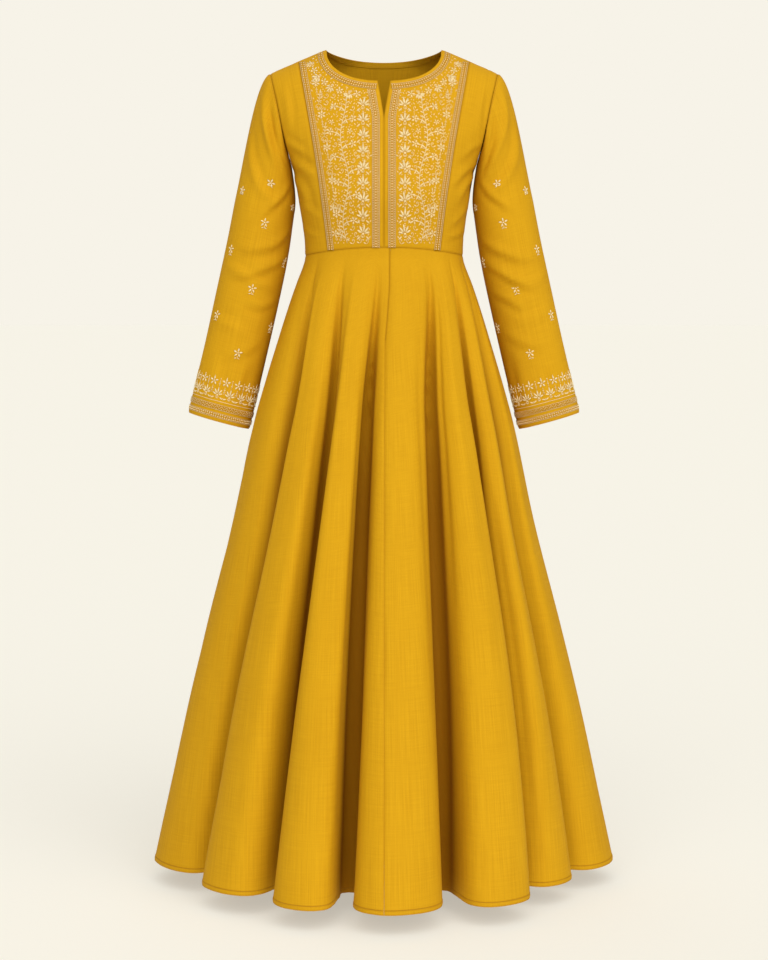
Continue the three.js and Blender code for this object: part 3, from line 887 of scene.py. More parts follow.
@dataclass(frozen=True)
class Sleeve:
    """A one-piece sleeve, set into the armhole."""

    columns_round: int = 97
    rows_down: int = 118
    crease_gain: float = 1.5
    crease_fade: float = 0.05
    leave_reach: float = 0.12
    arrive_reach: float = 0.35
    head_drop: float = 0.65
    # Painted shade along the sleeve's inner side, under the arm.
    inner_tone: float = 0.5
    inner_width: float = 0.13
    x, half, depth, tip = columns(SLEEVE, (MM, MM, MM, math.pi / 180))

    @staticmethod
    def armhole(around: Array) -> Array:
        """A point of the armhole, round from the sleeve head over the front.

        Args:
            around: shares round.

        Returns:
            The points.
        """
        front = around <= 0.5
        down = np.where(front, around * 2, 2 - around * 2)
        v = mix(1.0, UNDERARM_SHARE, down)
        one = np.ones_like(v)
        points = np.where(front[..., None], Bodice.side_front(one, v), Bodice.half_back(one, v))
        ends = (down < 1e-9) | (down > 1 - 1e-9)
        points[..., 1] = np.where(ends, 0, points[..., 1])
        points[..., 0] += SEAM * 1.2
        return points

    @classmethod
    def section(cls, around: Array, z: Array) -> Array:
        """A point of the section at height z.

        Args:
            around: shares round.
            z: the height.

        Returns:
            The points.
        """
        angle = around * 2 * np.pi
        out = cls.half(z) * np.cos(angle)
        tip = cls.tip(z)
        parts = [cls.x(z) + out * np.cos(tip), -cls.depth(z) * np.sin(angle), z + out * np.sin(tip)]
        return np.stack(parts, -1)

    @classmethod
    def surface(cls, s: Array, v: Array) -> Array:
        """The outer face: round, and from the armhole over the cap and down to the cuff.

        Args:
            s: shares round.
            v: shares downwards.

        Returns:
            The points.
        """
        top, end_z = SLEEVE[0][0] * MM, SLEEVE[-1][0] * MM
        arm = cls.section(s, mix(top, end_z, np.clip((v - CAP_SHARE) / (1 - CAP_SHARE), 0, 1)))
        start, end = cls.armhole(s), cls.section(s, np.full_like(s, top))
        reach = np.linalg.norm(end - start, axis=-1, keepdims=True)
        tip = math.radians(SLEEVE[0][4])
        head = (1 + np.cos(s * 2 * np.pi)) / 2
        leave = np.stack([head, np.zeros_like(head), -1 + cls.head_drop * head], -1)
        leave /= np.linalg.norm(leave, axis=-1, keepdims=True)
        arrive = np.array([-math.sin(tip), 0, math.cos(tip)])
        t = np.clip(v / CAP_SHARE, 0, 1)[..., None]
        a = start + leave * reach * cls.leave_reach
        b = end + arrive * reach * cls.arrive_reach
        cap = (1 - t) ** 3 * start + 3 * t * (1 - t) ** 2 * a + 3 * t * t * (1 - t) * b + t**3 * end
        return np.where((v > CAP_SHARE)[..., None], arm, cap)

    @staticmethod
    def from_cuff(distance: float) -> float:
        """The share down the sleeve at a distance from the cuff's end."""
        arm = (SLEEVE[0][0] - SLEEVE[-1][0]) * MM / math.cos(math.radians(SLEEVE[0][4]))
        return 1 - distance * (1 - CAP_SHARE) / arm

    @classmethod
    def lifts(cls, side: Side, s: Array, v: Array, z: Array) -> Array:
        """The lifts of one sleeve's creases.

        Args:
            side: the wearer's side.
            s: shares round.
            v: shares downwards.
            z: the heights.

        Returns:
            The lift at each point.
        """
        table = LEFT_SLEEVE_CREASES if side is Side.LEFT else RIGHT_SLEEVE_CREASES
        total = np.zeros(s.shape)
        for turn in (-1, 0, 1):
            total = total + lift(table, (s + turn) * SLEEVE_ROUND, z)
        fade = cls.crease_fade
        return cls.crease_gain * total * smooth(0, fade, v) * smooth(0, fade, 1 - v)

    @classmethod
    def outer(cls, side: Side, s: Array, v: Array) -> Array:
        """Points of the sleeve's outer face with its creases, on either side.

        Args:
            side: the wearer's side.
            s: shares round.
            v: shares downwards.

        Returns:
            The points.
        """
        points = cls.surface(s, v)
        step = 2e-3
        across = cls.surface(s + step, v) - cls.surface(s - step, v)
        down = cls.surface(s, np.minimum(v + step, 1)) - cls.surface(s, np.maximum(v - step, 0))
        normals = unit(np.cross(across, down))
        points = points + normals * cls.lifts(side, s, v, points[..., 2])[..., None]
        return points * np.array([side.value, 1, 1])

    @classmethod
    def piece(cls, side: Side) -> ClothPiece:
        """One sleeve's cloth, from the cuff upwards.

        Args:
            side: the wearer's side.

        Returns:
            The piece.
        """
        around = np.linspace(0, 1, cls.columns_round)
        s, v = np.meshgrid(around, 1 - shares(cls.rows_down, (0.002, 0.006)), indexing="ij")
        points = cls.surface(s, v)
        raised = cls.lifts(side, s, v, points[..., 2])
        if side is Side.LEFT:
            points, raised = points[::-1], raised[::-1]
        else:
            points = points * np.array([-1, 1, 1])
        return ClothPiece(
            f"sleeve_{side.word}_cloth",
            f"sleeve_{side.word}",
            points,
            ring=True,
            lifts=raised,
            roll_edges="bt",
            rests_on=("back_cloth", f"side_front_{side.word}_cloth"),
            # Painted shade along the sleeve's inner side, under the arm.
            hollow=cls.inner_tone * np.exp(-(((s - 0.5) / cls.inner_width) ** 2)),
        )


@dataclass(frozen=True)
class Sway:
    """A long soft ridge or trough that runs down one skirt fold, beside its main crest."""

    at: float
    lean: float
    top: float
    bottom: float
    rise: float
    width: float

    def height(self, along: Array, z: Array) -> Array:
        """How far it lifts the cloth.

        Args:
            along: the place round the skirt, counted in folds.
            z: the height.

        Returns:
            The lift at each point, in metres.
        """
        down = np.clip((self.top * MM - z) / ((self.top - self.bottom) * MM), 0, 1)
        d = (along - self.at - self.lean * down) / self.width
        return self.rise * MM * np.sin(np.pi * down) ** 0.7 * np.exp(-d * d)


SWAYS = tuple(Sway(*row) for row in (
    (3.34, 0.05, -330, -1180, 5.5, 0.07), (3.72, -0.04, -420, -1400, -5, 0.08),
    (3.12, 0.04, -700, -1420, 4, 0.05), (4.42, 0.1, -340, -1100, 4.5, 0.07),
    (4.66, -0.06, -560, -1420, 5, 0.06), (4.2, 0.03, -380, -900, -3.5, 0.06),
    (5.5, -0.08, -400, -1300, 5, 0.07), (5.3, 0.05, -700, -1420, -4, 0.06),
    (6.3, 0.06, -380, -1150, 5, 0.06), (6.62, -0.05, -500, -1420, 4.5, 0.07),
    (7.4, 0.07, -360, -1200, 5.5, 0.07), (7.7, -0.05, -640, -1420, -5, 0.07),
    (8.36, 0.06, -340, -1100, 5, 0.07), (8.68, -0.06, -500, -1420, 5, 0.06),
    (9.5, 0.05, -360, -1250, -5, 0.08), (9.26, 0.04, -620, -1420, 4.5, 0.06),
    (10.4, -0.05, -350, -1150, 5, 0.07), (10.7, 0.04, -560, -1420, 5, 0.07),
    (11.34, 0.06, -340, -1100, 5, 0.07), (11.66, -0.05, -600, -1420, -4.5, 0.07),
    (12.44, 0.05, -380, -1300, 5.5, 0.07), (12.7, 0.04, -700, -1420, 4, 0.05),
    (13.36, 0.06, -360, -1050, 5, 0.07), (13.68, -0.06, -520, -1420, 5, 0.07),
    (14.4, 0.05, -380, -1200, 5, 0.06), (14.64, -0.04, -640, -1420, -4, 0.06),
    (15.3, 0.06, -360, -1150, 5, 0.06), (15.64, -0.07, -500, -1420, 5.5, 0.07),
    (16.36, 0.08, -350, -1100, 4.5, 0.07), (16.68, -0.05, -540, -1420, 5, 0.06),
    (16.18, 0.04, -700, -1420, -3.5, 0.05),
))


@dataclass(frozen=True)
class Skirt:
    """The flared skirt: four panels that hang in folds, with seams on the folds' crests."""

    steps_per_fold: int = 40
    rows_up: int = 104
    hem_width: float = 8 * MM
    hem_rise: float = 0.55 * MM
    stitch_sink: float = 0.5 * MM
    hem_ripple: float = 0.5 * MM
    groove_depth: float = 27 * MM
    groove_width: float = 0.07
    groove_easing: float = 0.35
    # Painted shade: the folds' valleys darken below the waist, and a dark line runs along the hem's
    # stitching.
    hollow_width: float = 0.17
    hollow_tone: float = 0.8
    stitch_tone: float = 0.55
    seam_fade: float = 30 * MM
    hem_rows: ClassVar[Array] = MM * np.array((0, 0.4, 0.9, 1.8, 4, 6.5, 7.4, 8, 8.6, 9.6, 12, 18))
    bearings: ClassVar[list[Curve]] = [
        Curve((HIP, KNEE, -LENGTH), np.radians(np.array(row[:3], float))) for row in FOLDS
    ]
    deep, opened, out = (np.array([row[k] for row in FOLDS], float) for k in (3, 4, 5))

    @classmethod
    def valley(cls, index: Array, z: Array) -> Array:
        """The bearing of a numbered valley at a height, in radians.

        Args:
            index: the valley's number.
            z: the heights.

        Returns:
            The bearings.
        """
        bearing = np.zeros(z.shape)
        for k in range(len(FOLDS)):
            used = index % len(FOLDS) == k
            if used.any():
                bearing = np.where(used, cls.bearings[k](z), bearing)
        return bearing + 2 * np.pi * (index // len(FOLDS))

    @classmethod
    def spread(cls, index: Array, share: Array, z: Array) -> Array:
        """The share of a fold's width at a share of its cloth.

        Args:
            index: the fold's number.
            share: the share of its cloth.
            z: the heights.

        Returns:
            The shares of its width.
        """
        settled = Form.drop(z) ** 0.6
        turn = share * 2 * np.pi
        widening = np.pi * (0.5 - cls.opened[index % len(FOLDS)]) * np.sin(turn)
        steepening = WALL_STEEPNESS * 0.5 * np.sin(2 * turn)
        return share + settled * (steepening - widening) / (2 * np.pi)

    @classmethod
    def fold_bearing(cls, index: Array, share: Array, z: Array) -> Array:
        """The bearing of a point of the cloth, in radians."""
        width = cls.spread(index, share, z)
        return mix(cls.valley(index, z), cls.valley(index + 1, z), width)

    @classmethod
    def point(cls, along: Array, z: Array) -> Array:
        """A point of the skirt, at a place counted in folds, and a height.

        Args:
            along: the place round, counted in folds.
            z: the heights.

        Returns:
            The points.
        """
        index = np.floor(along).astype(int)
        share = along - index
        angle = cls.fold_bearing(index, share, z)
        across, forward = np.sin(angle), np.cos(angle)
        half, square = Form.half(z), Form.power(z)
        depth = np.where(forward > 0, Form.front(z), Form.back(z))
        total = np.abs(across / half) ** square + np.abs(forward / depth) ** square
        reach = total ** (-1 / square)
        x, y = across * reach, -forward * reach
        inward_x, inward_y = -x / half**2, -y / depth**2
        size = np.hypot(inward_x, inward_y)
        hang = (1 + np.cos(share * 2 * np.pi)) / 2
        count = len(FOLDS)
        valley = mix(cls.deep[index % count], cls.deep[(index + 1) % count], share)
        push = (valley * hang - cls.out[index % count] * (1 - hang)) * MM
        push = push * Form.drop(z) ** FOLD_GROWTH
        return np.stack([x + inward_x / size * push, y + inward_y / size * push, z], -1)

    @classmethod
    def seam_place(cls, seam: tuple[int, float], z: Array, way: int) -> Array:
        """Where a panel starts or ends beside a seam, counted in folds.

        Args:
            seam: the fold that the seam lies on, and its bearing in degrees.
            z: the heights.
            way: 1 where the panel starts at the seam, and -1 where it ends.

        Returns:
            The place at each height, half a seam's gap from the seam.
        """
        index = np.full(z.shape, seam[0])
        low, high = np.full(z.shape, 0.25), np.full(z.shape, 0.75)
        for _ in range(26):
            middle = (low + high) / 2
            short = cls.fold_bearing(index, middle, z) < math.radians(seam[1])
            low, high = np.where(short, middle, low), np.where(short, high, middle)
        step = 1e-3
        ends = [cls.point(index + low + way * step * k, z) for k in (1, -1)]
        length = np.linalg.norm(ends[0] - ends[1], axis=-1)
        return index + low + way * SEAM * step / length

    @classmethod
    def panel(cls, start: tuple, end: tuple) -> tuple[Array, Array]:
        """The points of one panel, and the place of each, counted in folds.

        Args:
            start: the seam that it starts at.
            end: the seam that it ends at.

        Returns:
            The points and the places.
        """
        count = (end[0] - start[0]) * cls.steps_per_fold
        s = shares(count, (0.0016, 0.004))
        upward = np.unique(np.concatenate([
            cls.hem_rows / (LENGTH - WAIST), np.linspace(0.018, 1, cls.rows_up), [0.9975, 0.9988],
        ]))
        s, v = np.meshgrid(s, upward, indexing="ij")
        z = mix(-LENGTH, -WAIST, v)
        for _ in range(2):
            row = z[:1]
            first, last = cls.seam_place(start, row, 1), cls.seam_place(end, row, -1)
            along = mix(first, last, s)
            x = cls.point(along, z)[..., 0]
            z = mix(-LENGTH, Form.waist(x) - SEAM / 2, v)
        return cls.point(along, z), along

    @classmethod
    def groove(cls, along: Array, z: Array) -> Array:
        """How far the cloth is drawn in at the bottom of each valley, in metres.

        Args:
            along: the place round, counted in folds.
            z: the heights.

        Returns:
            The lift, below zero.
        """
        away = np.abs(along - np.round(along)) / cls.groove_width
        uneven = 1 + 0.25 * np.sin(np.round(along) * 2.3)
        starting = smooth(-322 * MM, -560 * MM, z)
        depth = cls.groove_depth * starting * (1 - cls.groove_easing * Form.drop(z)) * uneven
        return -depth * np.exp(-away * away)

    @classmethod
    def hem(cls, along: Array, upward: Array) -> Array:
        """How far the turned-up hem lifts the cloth, in metres.

        Args:
            along: the place round the skirt, counted in folds.
            upward: the distance up from the lower edge.

        Returns:
            The lift at each point.
        """
        turned = smooth(cls.hem_width - 0.5 * MM, cls.hem_width + 0.6 * MM, upward)
        total = cls.hem_rise * (1 - turned)
        total -= cls.stitch_sink * np.exp(-((upward - cls.hem_width + 1 * MM) / (0.5 * MM)) ** 2)
        ripple = cls.hem_ripple * np.sin(along * 151) * np.sin(along * 43)
        return total + ripple * smooth(0.02, 0, upward)

    @classmethod
    def hollow(cls, along: Array, z: Array, upward: Array) -> Array:
        """The painted shade of each point, from 0 to 1: how deep in a fold it lies, and the line of
        the hem's stitching.

        Args:
            along: the place round, counted in folds.
            z: the heights.
            upward: the distance up from the lower edge.

        Returns:
            One share for each point.
        """
        away = np.abs(along - np.round(along)) / cls.hollow_width
        deep = cls.hollow_tone * smooth(-330 * MM, -760 * MM, z) * np.exp(-(away**4))
        below = (upward - cls.hem_width + 0.6 * MM) / (0.9 * MM)
        line = cls.stitch_tone * np.exp(-(below**2))
        return np.maximum(deep, line)

    @classmethod
    def pieces(cls) -> list[ClothPiece]:
        """The four panels, with their hems turned up.

        Returns:
            The pieces.
        """
        made = []
        for name, start, end in SKIRT_PANELS:
            points, along = cls.panel(start, end)
            z = points[..., 2]
            raised = cls.groove(along, z)
            for sway in SWAYS:
                raised += sway.height(along, z)
            across, upward = run_lengths(points, 0), run_lengths(points, 1)
            for away in (across, across[-1:] - across):
                raised *= smooth(0, cls.seam_fade, away)
            made.append(
                ClothPiece(
                    f"skirt_{name}_cloth",
                    f"skirt_{name}",
                    points,
                    lifts=raised + cls.hem(along, upward),
                    hollow=cls.hollow(along, z, upward),
                    rests_on=("yoke_left_cloth", "yoke_right_cloth", "back_cloth"),
                )
            )
        return made


# ---- Stitching ----


@dataclass
class Ground:
    """A cloth surface that stitches are laid on, by two coordinates of its own."""

    surface: Surface
    step: float
    mirrored: bool = False

    def frames(self, a: Array, b: Array) -> tuple[Array, Array, Array, Array]:
        """The place, and the directions along a, along b and outwards, at each point.

        Args:
            a: first coordinates.
            b: second coordinates.

        Returns:
            The places and the three directions.
        """
        a, b = np.atleast_1d(np.asarray(a, float)), np.atleast_1d(np.asarray(b, float))
        e = self.step
        right = self.surface(a + e, b) - self.surface(a - e, b)
        up = self.surface(a, b + e) - self.surface(a, b - e)
        right = unit(right)
        up = unit(up - right * (right * up).sum(-1, keepdims=True))
        out = np.cross(right, up) * (-1 if self.mirrored else 1)
        return self.surface(a, b), right, up, out


def front_ground(side: Side, line: Line, step: float, mirrored: bool) -> Ground:
    """A ground on the front of the bodice.

    Args:
        side: the wearer's side.
        line: gives x and the height of a place, from its two coordinates.
        step: the spacing at which directions are measured.
        mirrored: whether the two coordinates run the other way round.

    Returns:
        The ground.
    """

    def surface(a: Array, b: Array) -> Array:
        """Points of the creased front.

        Args:
            a: first coordinates.
            b: second coordinates.

        Returns:
            The points.
        """
        x, z = line(a, b)
        points = Form.point(Face.FRONT, side.value * x, z)
        raised = lift(FRONT_CREASES, side.value * x, z)
        return points + np.array([0, -1, 0]) * raised[..., None]

    return Ground(surface, step, mirrored)


LEAF_RISE = 0.75
LEAF_FILL = 0.41
LEAF_POINTS = np.array([
    (0, 0, 0), (0.6, 0.2, 0), (1, 0.5, 0), (0.62, 0.8, 0), (0, 1, 0), (-0.62, 0.8, 0),
    (-1, 0.5, 0), (-0.6, 0.2, 0), (0, 0.2, 0.7), (0, 0.5, 1), (0, 0.8, 0.75),
])
LEAF_FACES = np.array([
    (0, 1, 8), (1, 2, 9), (1, 9, 8), (2, 3, 10), (2, 10, 9), (3, 4, 10), (4, 5, 10), (5, 6, 9),
    (5, 9, 10), (6, 7, 8), (6, 8, 9), (7, 0, 8), (0, 7, 1), (7, 6, 1), (6, 2, 1), (6, 5, 2),
    (5, 3, 2), (5, 4, 3),
])
BEAD_ANGLES = np.arange(6) * np.pi / 3
BEAD_POINTS = np.concatenate([
    np.stack([np.cos(BEAD_ANGLES), np.sin(BEAD_ANGLES), np.zeros(6)], -1),
    np.stack([0.72 * np.cos(BEAD_ANGLES), 0.72 * np.sin(BEAD_ANGLES), np.full(6, 0.7)], -1),
    [(0, 0, 1), (0, 0, 0)],
])
BEAD_FACES = np.array(
    [(k, (k + 1) % 6, 6 + (k + 1) % 6) for k in range(6)]
    + [(k, 6 + (k + 1) % 6, 6 + k) for k in range(6)]
    + [(6 + k, 6 + (k + 1) % 6, 12) for k in range(6)]
    + [((k + 1) % 6, k, 13) for k in range(6)]
)


class Motif(Enum):
    """A stitched shape: its points and faces, one unit wide to each side and one long or tall."""

    LEAF = 0
    BEAD = 1

    @property
    def shape(self) -> tuple[Array, Array]:
        """The shape's points and faces."""
        return (LEAF_POINTS, LEAF_FACES) if self is Motif.LEAF else (BEAD_POINTS, BEAD_FACES)


@dataclass
class Stitching:
    """Stitches gathered on one ground, and made into one mesh."""

    ground: Ground
    raise_by: float = 0.12 * MM
    stamps: dict[Motif, list[tuple]] = field(default_factory=lambda: {m: [] for m in Motif})
    stems: list[tuple[Array, float, float]] = field(default_factory=list)

    def leaf(self, at: tuple, angle: float, length: float, width: float) -> None:
        """A satin-stitched leaf or petal from at, pointing along an angle in degrees; in mm."""
        turn = math.radians(angle - 90)
        self.stamps[Motif.LEAF].append((*at, turn, width * LEAF_FILL, length, LEAF_RISE))

    def bead(self, at: tuple, radius: float, rise: float = 0.9) -> None:
        """A small raised knot or bead; in mm."""
        self.stamps[Motif.BEAD].append((*at, 0.0, radius, radius, rise))

    def stem(self, line: list[tuple], width: float = 0.9, rise: float = 0.7) -> None:
        """A stem-stitched line through the points; in mm."""
        self.stems.append((np.array(line, float), width / 2, rise))

    def curl(self, at: tuple, angle: float, size: float, hand: int) -> None:
        """A small spiral that leaves at along an angle in degrees and turns to one hand.

        Args:
            at: where it starts.
            angle: its first direction, in degrees.
            size: its size.
            hand: 1 to turn left and -1 to turn right.
        """
        line, heading = [at], math.radians(angle)
        x, z = at
        for k in range(11):
            step = size * 0.26 * (1 - 0.055 * k)
            x, z = x + step * math.cos(heading), z + step * math.sin(heading)
            heading += hand * (0.18 + 0.075 * k)
            line.append((x, z))
        self.stem(line, 0.8)
        self.bead(line[-1], 0.8)

    def blossom(self, at: tuple, size: float, turn: float = 90, petals: int = 5) -> None:
        """A flower of even petals round a knot.

        Args:
            at: its middle.
            size: its width.
            turn: the first petal's direction.
            petals: how many.
        """
        for k in range(petals):
            angle = turn + k * 360 / petals
            a = math.radians(angle)
            base = (at[0] + size * 0.1 * math.cos(a), at[1] + size * 0.1 * math.sin(a))
            self.leaf(base, angle, size * 0.42, size * 0.27)
        self.bead(at, size * 0.1, 1.2)

    def palmette(self, at: tuple, angle: float, size: float) -> None:
        """A fan of leaves over a pair of curls.

        Args:
            at: its root.
            angle: its direction.
            size: its height.
        """
        for turn, share in ((0, 1), (32, 0.86), (-32, 0.86), (66, 0.66), (-66, 0.66)):
            a = math.radians(angle + turn)
            base = (at[0] + size * 0.08 * math.cos(a), at[1] + size * 0.08 * math.sin(a))
            self.leaf(base, angle + turn, size * 0.56 * share, size * 0.17)
        self.bead(at, size * 0.075, 1.1)
        for hand in (-1, 1):
            self.curl(at, angle + 180 + 50 * hand, size * 0.2, -hand)

    def sprig(self, at: tuple, angle: float, size: float, pairs: int = 3) -> None:
        """A stem with leaves in pairs and a bud at its tip.

        Args:
            at: its root.
            angle: its direction.
            size: its length.
            pairs: how many pairs of leaves.
        """
        a = math.radians(angle)
        tip = (at[0] + size * math.cos(a), at[1] + size * math.sin(a))
        self.stem([at, tip], 0.8)
        for k in range(pairs):
            share = (k + 0.6) / (pairs + 0.4)
            base = (mix(at[0], tip[0], share), mix(at[1], tip[1], share))
            for hand in (-1, 1):
                self.leaf(base, angle + 48 * hand, size * 0.3 * (1.1 - 0.3 * share), size * 0.11)
        self.leaf(tip, angle, size * 0.3, size * 0.14)

    def taken(self) -> Array:
        """The places that already hold a stitch.

        Returns:
            One place in each row.
        """
        found = [s[:2] for stamps in self.stamps.values() for s in stamps]
        for x, z, turn, _, length, _ in self.stamps[Motif.LEAF]:
            found.append((x - math.sin(turn) * length, z + math.cos(turn) * length))
        for line, _, _ in self.stems:
            found += [tuple(p) for p in line]
        return np.array(found)

    def keep(self, inside: Callable[[Array, Array], Array]) -> None:
        """Leaves out every stitch that isn't inside."""
        for stamps in self.stamps.values():
            stamps[:] = [s for s in stamps if inside(np.array(s[0]), np.array(s[1]))]
        self.stems[:] = [s for s in self.stems if inside(s[0][:, 0], s[0][:, 1]).all()]

    def mesh_parts(self) -> tuple[Array, Array]:
        """The points and triangles of all the stitches.

        Returns:
            The points and the faces.
        """
        points, faces, count = [], [], 0
        for motif, stamps in self.stamps.items():
            if not stamps:
                continue
            shape, triangles = motif.shape
            x, z, turn, half, length, rise = np.array(stamps, float).T
            place, right, up, out = self.ground.frames(x * MM, z * MM)
            cos, sin = np.cos(turn)[:, None], np.sin(turn)[:, None]
            side, ahead = right * cos + up * sin, up * cos - right * sin
            made = place[:, None] + out[:, None] * self.raise_by
            made = made + side[:, None] * (shape[None, :, :1] * half[:, None, None] * MM)
            made = made + ahead[:, None] * (shape[None, :, 1:2] * length[:, None, None] * MM)
            made = made + out[:, None] * (shape[None, :, 2:] * rise[:, None, None] * MM)
            starts = count + np.arange(len(x)) * len(shape)
            points.append(made.reshape(-1, 3))
            faces.append((triangles[None] + starts[:, None, None]).reshape(-1, 3))
            count += len(x) * len(shape)
        for line, half, rise in self.stems:
            place, right, up, out = self.ground.frames(line[:, 0] * MM, line[:, 1] * MM)
            ahead = unit(np.gradient(place, axis=0))
            side = np.cross(ahead, out) * half * MM
            base = place + out * self.raise_by
            ring = np.stack([base + side, base + out * rise * MM, base - side], 1)
            n = len(line)
            made, triangles = ring.reshape(-1, 3), []
            for k in range(n - 1):
                for c in range(3):
                    a, b = 3 * k + c, 3 * k + (c + 1) % 3
                    triangles += [(a, a + 3, b + 3), (a, b + 3, b)]
            triangles += [(0, 1, 2), (3 * n - 1, 3 * n - 2, 3 * n - 3)]
            stem_faces = np.array(triangles)
            if self.ground.mirrored:
                stem_faces = stem_faces[:, ::-1]
            points.append(made)
            faces.append(stem_faces + count)
            count += len(made)
        joined = np.concatenate(faces)
        return np.concatenate(points), joined[:, ::-1] if self.ground.mirrored else joined

    def build(self, name: str, thread: bpy.types.Material) -> bpy.types.Object:
        """Makes and dresses the mesh of all the stitches.

        Args:
            name: the piece's name.
            thread: its material.

        Returns:
            The finished object.
        """
        piece = mesh_object(name, *self.mesh_parts())
        piece.data.materials.append(thread)
        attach(piece, "root")
        LOG.info("%s: %d triangles", name, len(piece.data.polygons))
        return piece


@dataclass
class YokeEmbroidery:
    """An all-over vine pattern on one yoke: palmettes, sprigs, blossoms, curls and seeds."""

    side: Side
    palmettes: int = 9
    palmette_x: float = 33
    palmette_pitch: float = 25.2
    vine_x: float = 58
    vine_bottom: float = -312
    vine_top: float = -74
    outer_motifs: int = 10
    outer_inset: float = 22
    outer_pitch: float = 26.0
    neck_motifs: int = 8
    neck_margin: float = 17
    neck_row: float = 27
    lowest: float = -314
    seed_rooms: tuple[tuple[float, float], ...] = ((8.2, 7.0), (5.6, 5.2), (3.9, 4.2), (2.8, 3.4))
    stitching: Stitching = field(init=False)

    def __post_init__(self) -> None:
        """Lays the stitches' ground, by the distance from the centre and the height."""
        ground = front_ground(self.side, lambda x, z: (x, z), 0.4 * MM, self.side is Side.RIGHT)
        self.stitching = Stitching(ground)

    def inside(self, x: Array, z: Array) -> Array:
        """Whether a place lies on the yoke between its tapes; in mm.

        Args:
            x: distances from the centre.
            z: heights.

        Returns:
            A truth for each place.
        """
        free = (x > 22) & (x < Form.princess(z * MM) / MM - 13.5)
        reach = np.clip(x / (NECK_HALF / MM + self.neck_margin), 0, 1)
        bow = (1 - reach**NECK_POWER) ** (1 / NECK_POWER)
        neck = -(NECK_DROP_FRONT / MM + self.neck_margin) * bow
        ridge = Form.shoulder(x * MM) / MM - 7
        return free & (z < neck) & (z < ridge) & (z > self.lowest)

    def palmette_column(self) -> None:
        """Palmettes beside the placket, in mm from the centre and in height."""
        work, x = self.stitching, self.palmette_x
        for k in range(self.palmettes):
            z = -96 - self.palmette_pitch * k
            work.palmette((x, z), 90 if k % 2 else 100, 25)
            work.leaf((x - 4.5, z - 4), 225, 8, 3.2)
            work.leaf((x + 4.5, z - 4), -45, 8, 3.2)
            work.bead((x, z - 9.5), 1.1)
            work.bead((x, z + 13), 0.9)

    def vine(self) -> None:
        """A winding vine up the middle, with leaves, and blossoms on short branches."""
        work = self.stitching
        heights = np.arange(self.vine_bottom, self.vine_top, 4.0)
        rises = heights - self.vine_bottom
        vine = [
            (self.vine_x + 5.5 * math.sin(rise / 21) + 0.03 * rise, z)
            for rise, z in zip(rises, heights)
        ]
        work.stem(vine, 1.1)
        for k, (x, z) in enumerate(vine[1:-1]):
            hand = 1 if k % 2 else -1
            work.leaf((x, z), 90 - 58 * hand, 6.6, 2.7)
            if k % 5 == 1:
                end = (x + hand * 14, z + 6)
                work.stem([(x, z), (x + hand * 4, z + 3.5), (x + hand * 9, z + 5.5), end], 1.1)
                work.blossom((end[0] + hand * 3, end[1] + 1), 13, 90 + 20 * hand)
                work.curl((x + hand * 7, z + 5), 90 + 40 * hand, 6.5, -hand)
                work.curl((x, z), 90 + 100 * -hand, 7, hand)
                work.leaf((x + hand * 6, z + 4.5), -60 if hand > 0 else 240, 6.5, 2.6)

    def outer_column(self) -> None:
        """Sprigs and blossoms in turn, beside the princess tape."""
        work = self.stitching
        for k in range(self.outer_motifs):
            z = -58 - self.outer_pitch * k
            x = float(Form.princess(z * MM) / MM) - self.outer_inset
            if k % 2:
                work.sprig((x, z - 9), 96, 18)
                work.curl((x, z - 9), 200, 7, 1)
                work.curl((x, z - 9), -20, 6, -1)
            else:
                work.blossom((x, z), 14, 90, 6)
                work.sprig((x - 1, z - 8), -96, 10, 2)
                work.curl((x, z + 7), 60, 5.5, -1)
                work.curl((x, z + 7), 120, 5.5, 1)

    def neck_row_motifs(self) -> None:
        """Blossoms and palmettes round the neck, and sprigs below the shoulder."""
        work = self.stitching
        for k in range(self.neck_motifs):
            bearing = math.radians(24 + 8.4 * k)
            x = (NECK_HALF / MM + self.neck_row) * math.sin(bearing) ** (2 / NECK_POWER)
            z = -(NECK_DROP_FRONT / MM + self.neck_row) * math.cos(bearing) ** (2 / NECK_POWER)
            tilt = -90 + math.degrees(bearing)
            if k % 2:
                work.blossom((x, z), 12.5, tilt)
            else:
                work.palmette((x, z), tilt, 19)
        for x, z, turn in ((112, -34, 60), (117, -62, 120), (98, -84, 80), (84, -104, 100)):
            work.sprig((x, z), turn, 12)

    def fill(self) -> None:
        """Fills what is left between the motifs, the widest gaps first, and then with seeds."""
        work = self.stitching
        for room, pitch in self.seed_rooms:
            place = 0
            for row, z in enumerate(np.arange(-311, -12, pitch)):
                taken = work.taken()
                for x in np.arange(23, 132, pitch):
                    place += 1
                    at = (
                        x + 0.5 * pitch * (row % 2) + 0.6 * math.sin(place * 2.4),
                        z + 0.6 * math.cos(place * 1.7),
                    )
                    if not self.inside(np.array(at[0]), np.array(at[1])):
                        continue
                    if np.hypot(taken[:, 0] - at[0], taken[:, 1] - at[1]).min() < room:
                        continue
                    hand = 1 if place % 2 else -1
                    if room > 8:
                        work.blossom(at, 9.5, 90 + 30 * hand, 5)
                    elif room > 5:
                        work.curl((at[0], at[1] - 2), 90 - 50 * hand, 6.2, hand)
                        work.leaf((at[0], at[1] - 2), 90 + 60 * hand, 5.4, 2.4)
                    elif room > 3:
                        work.leaf((at[0], at[1] - 1.6), 90 + 35 * hand, 4.2, 2.0)
                    else:
                        work.bead(at, 0.85)
                    taken = work.taken()
        work.keep(self.inside)

    def build(self, thread: bpy.types.Material) -> bpy.types.Object:
        """Makes the embroidery of this side.

        Args:
            thread: its material.

        Returns:
            The finished object.
        """
        self.palmette_column()
        self.vine()
        self.outer_column()
        self.neck_row_motifs()
        self.stitching.keep(self.inside)
        self.fill()
        return self.stitching.build(f"embroidery_yoke_{self.side.word}", thread)


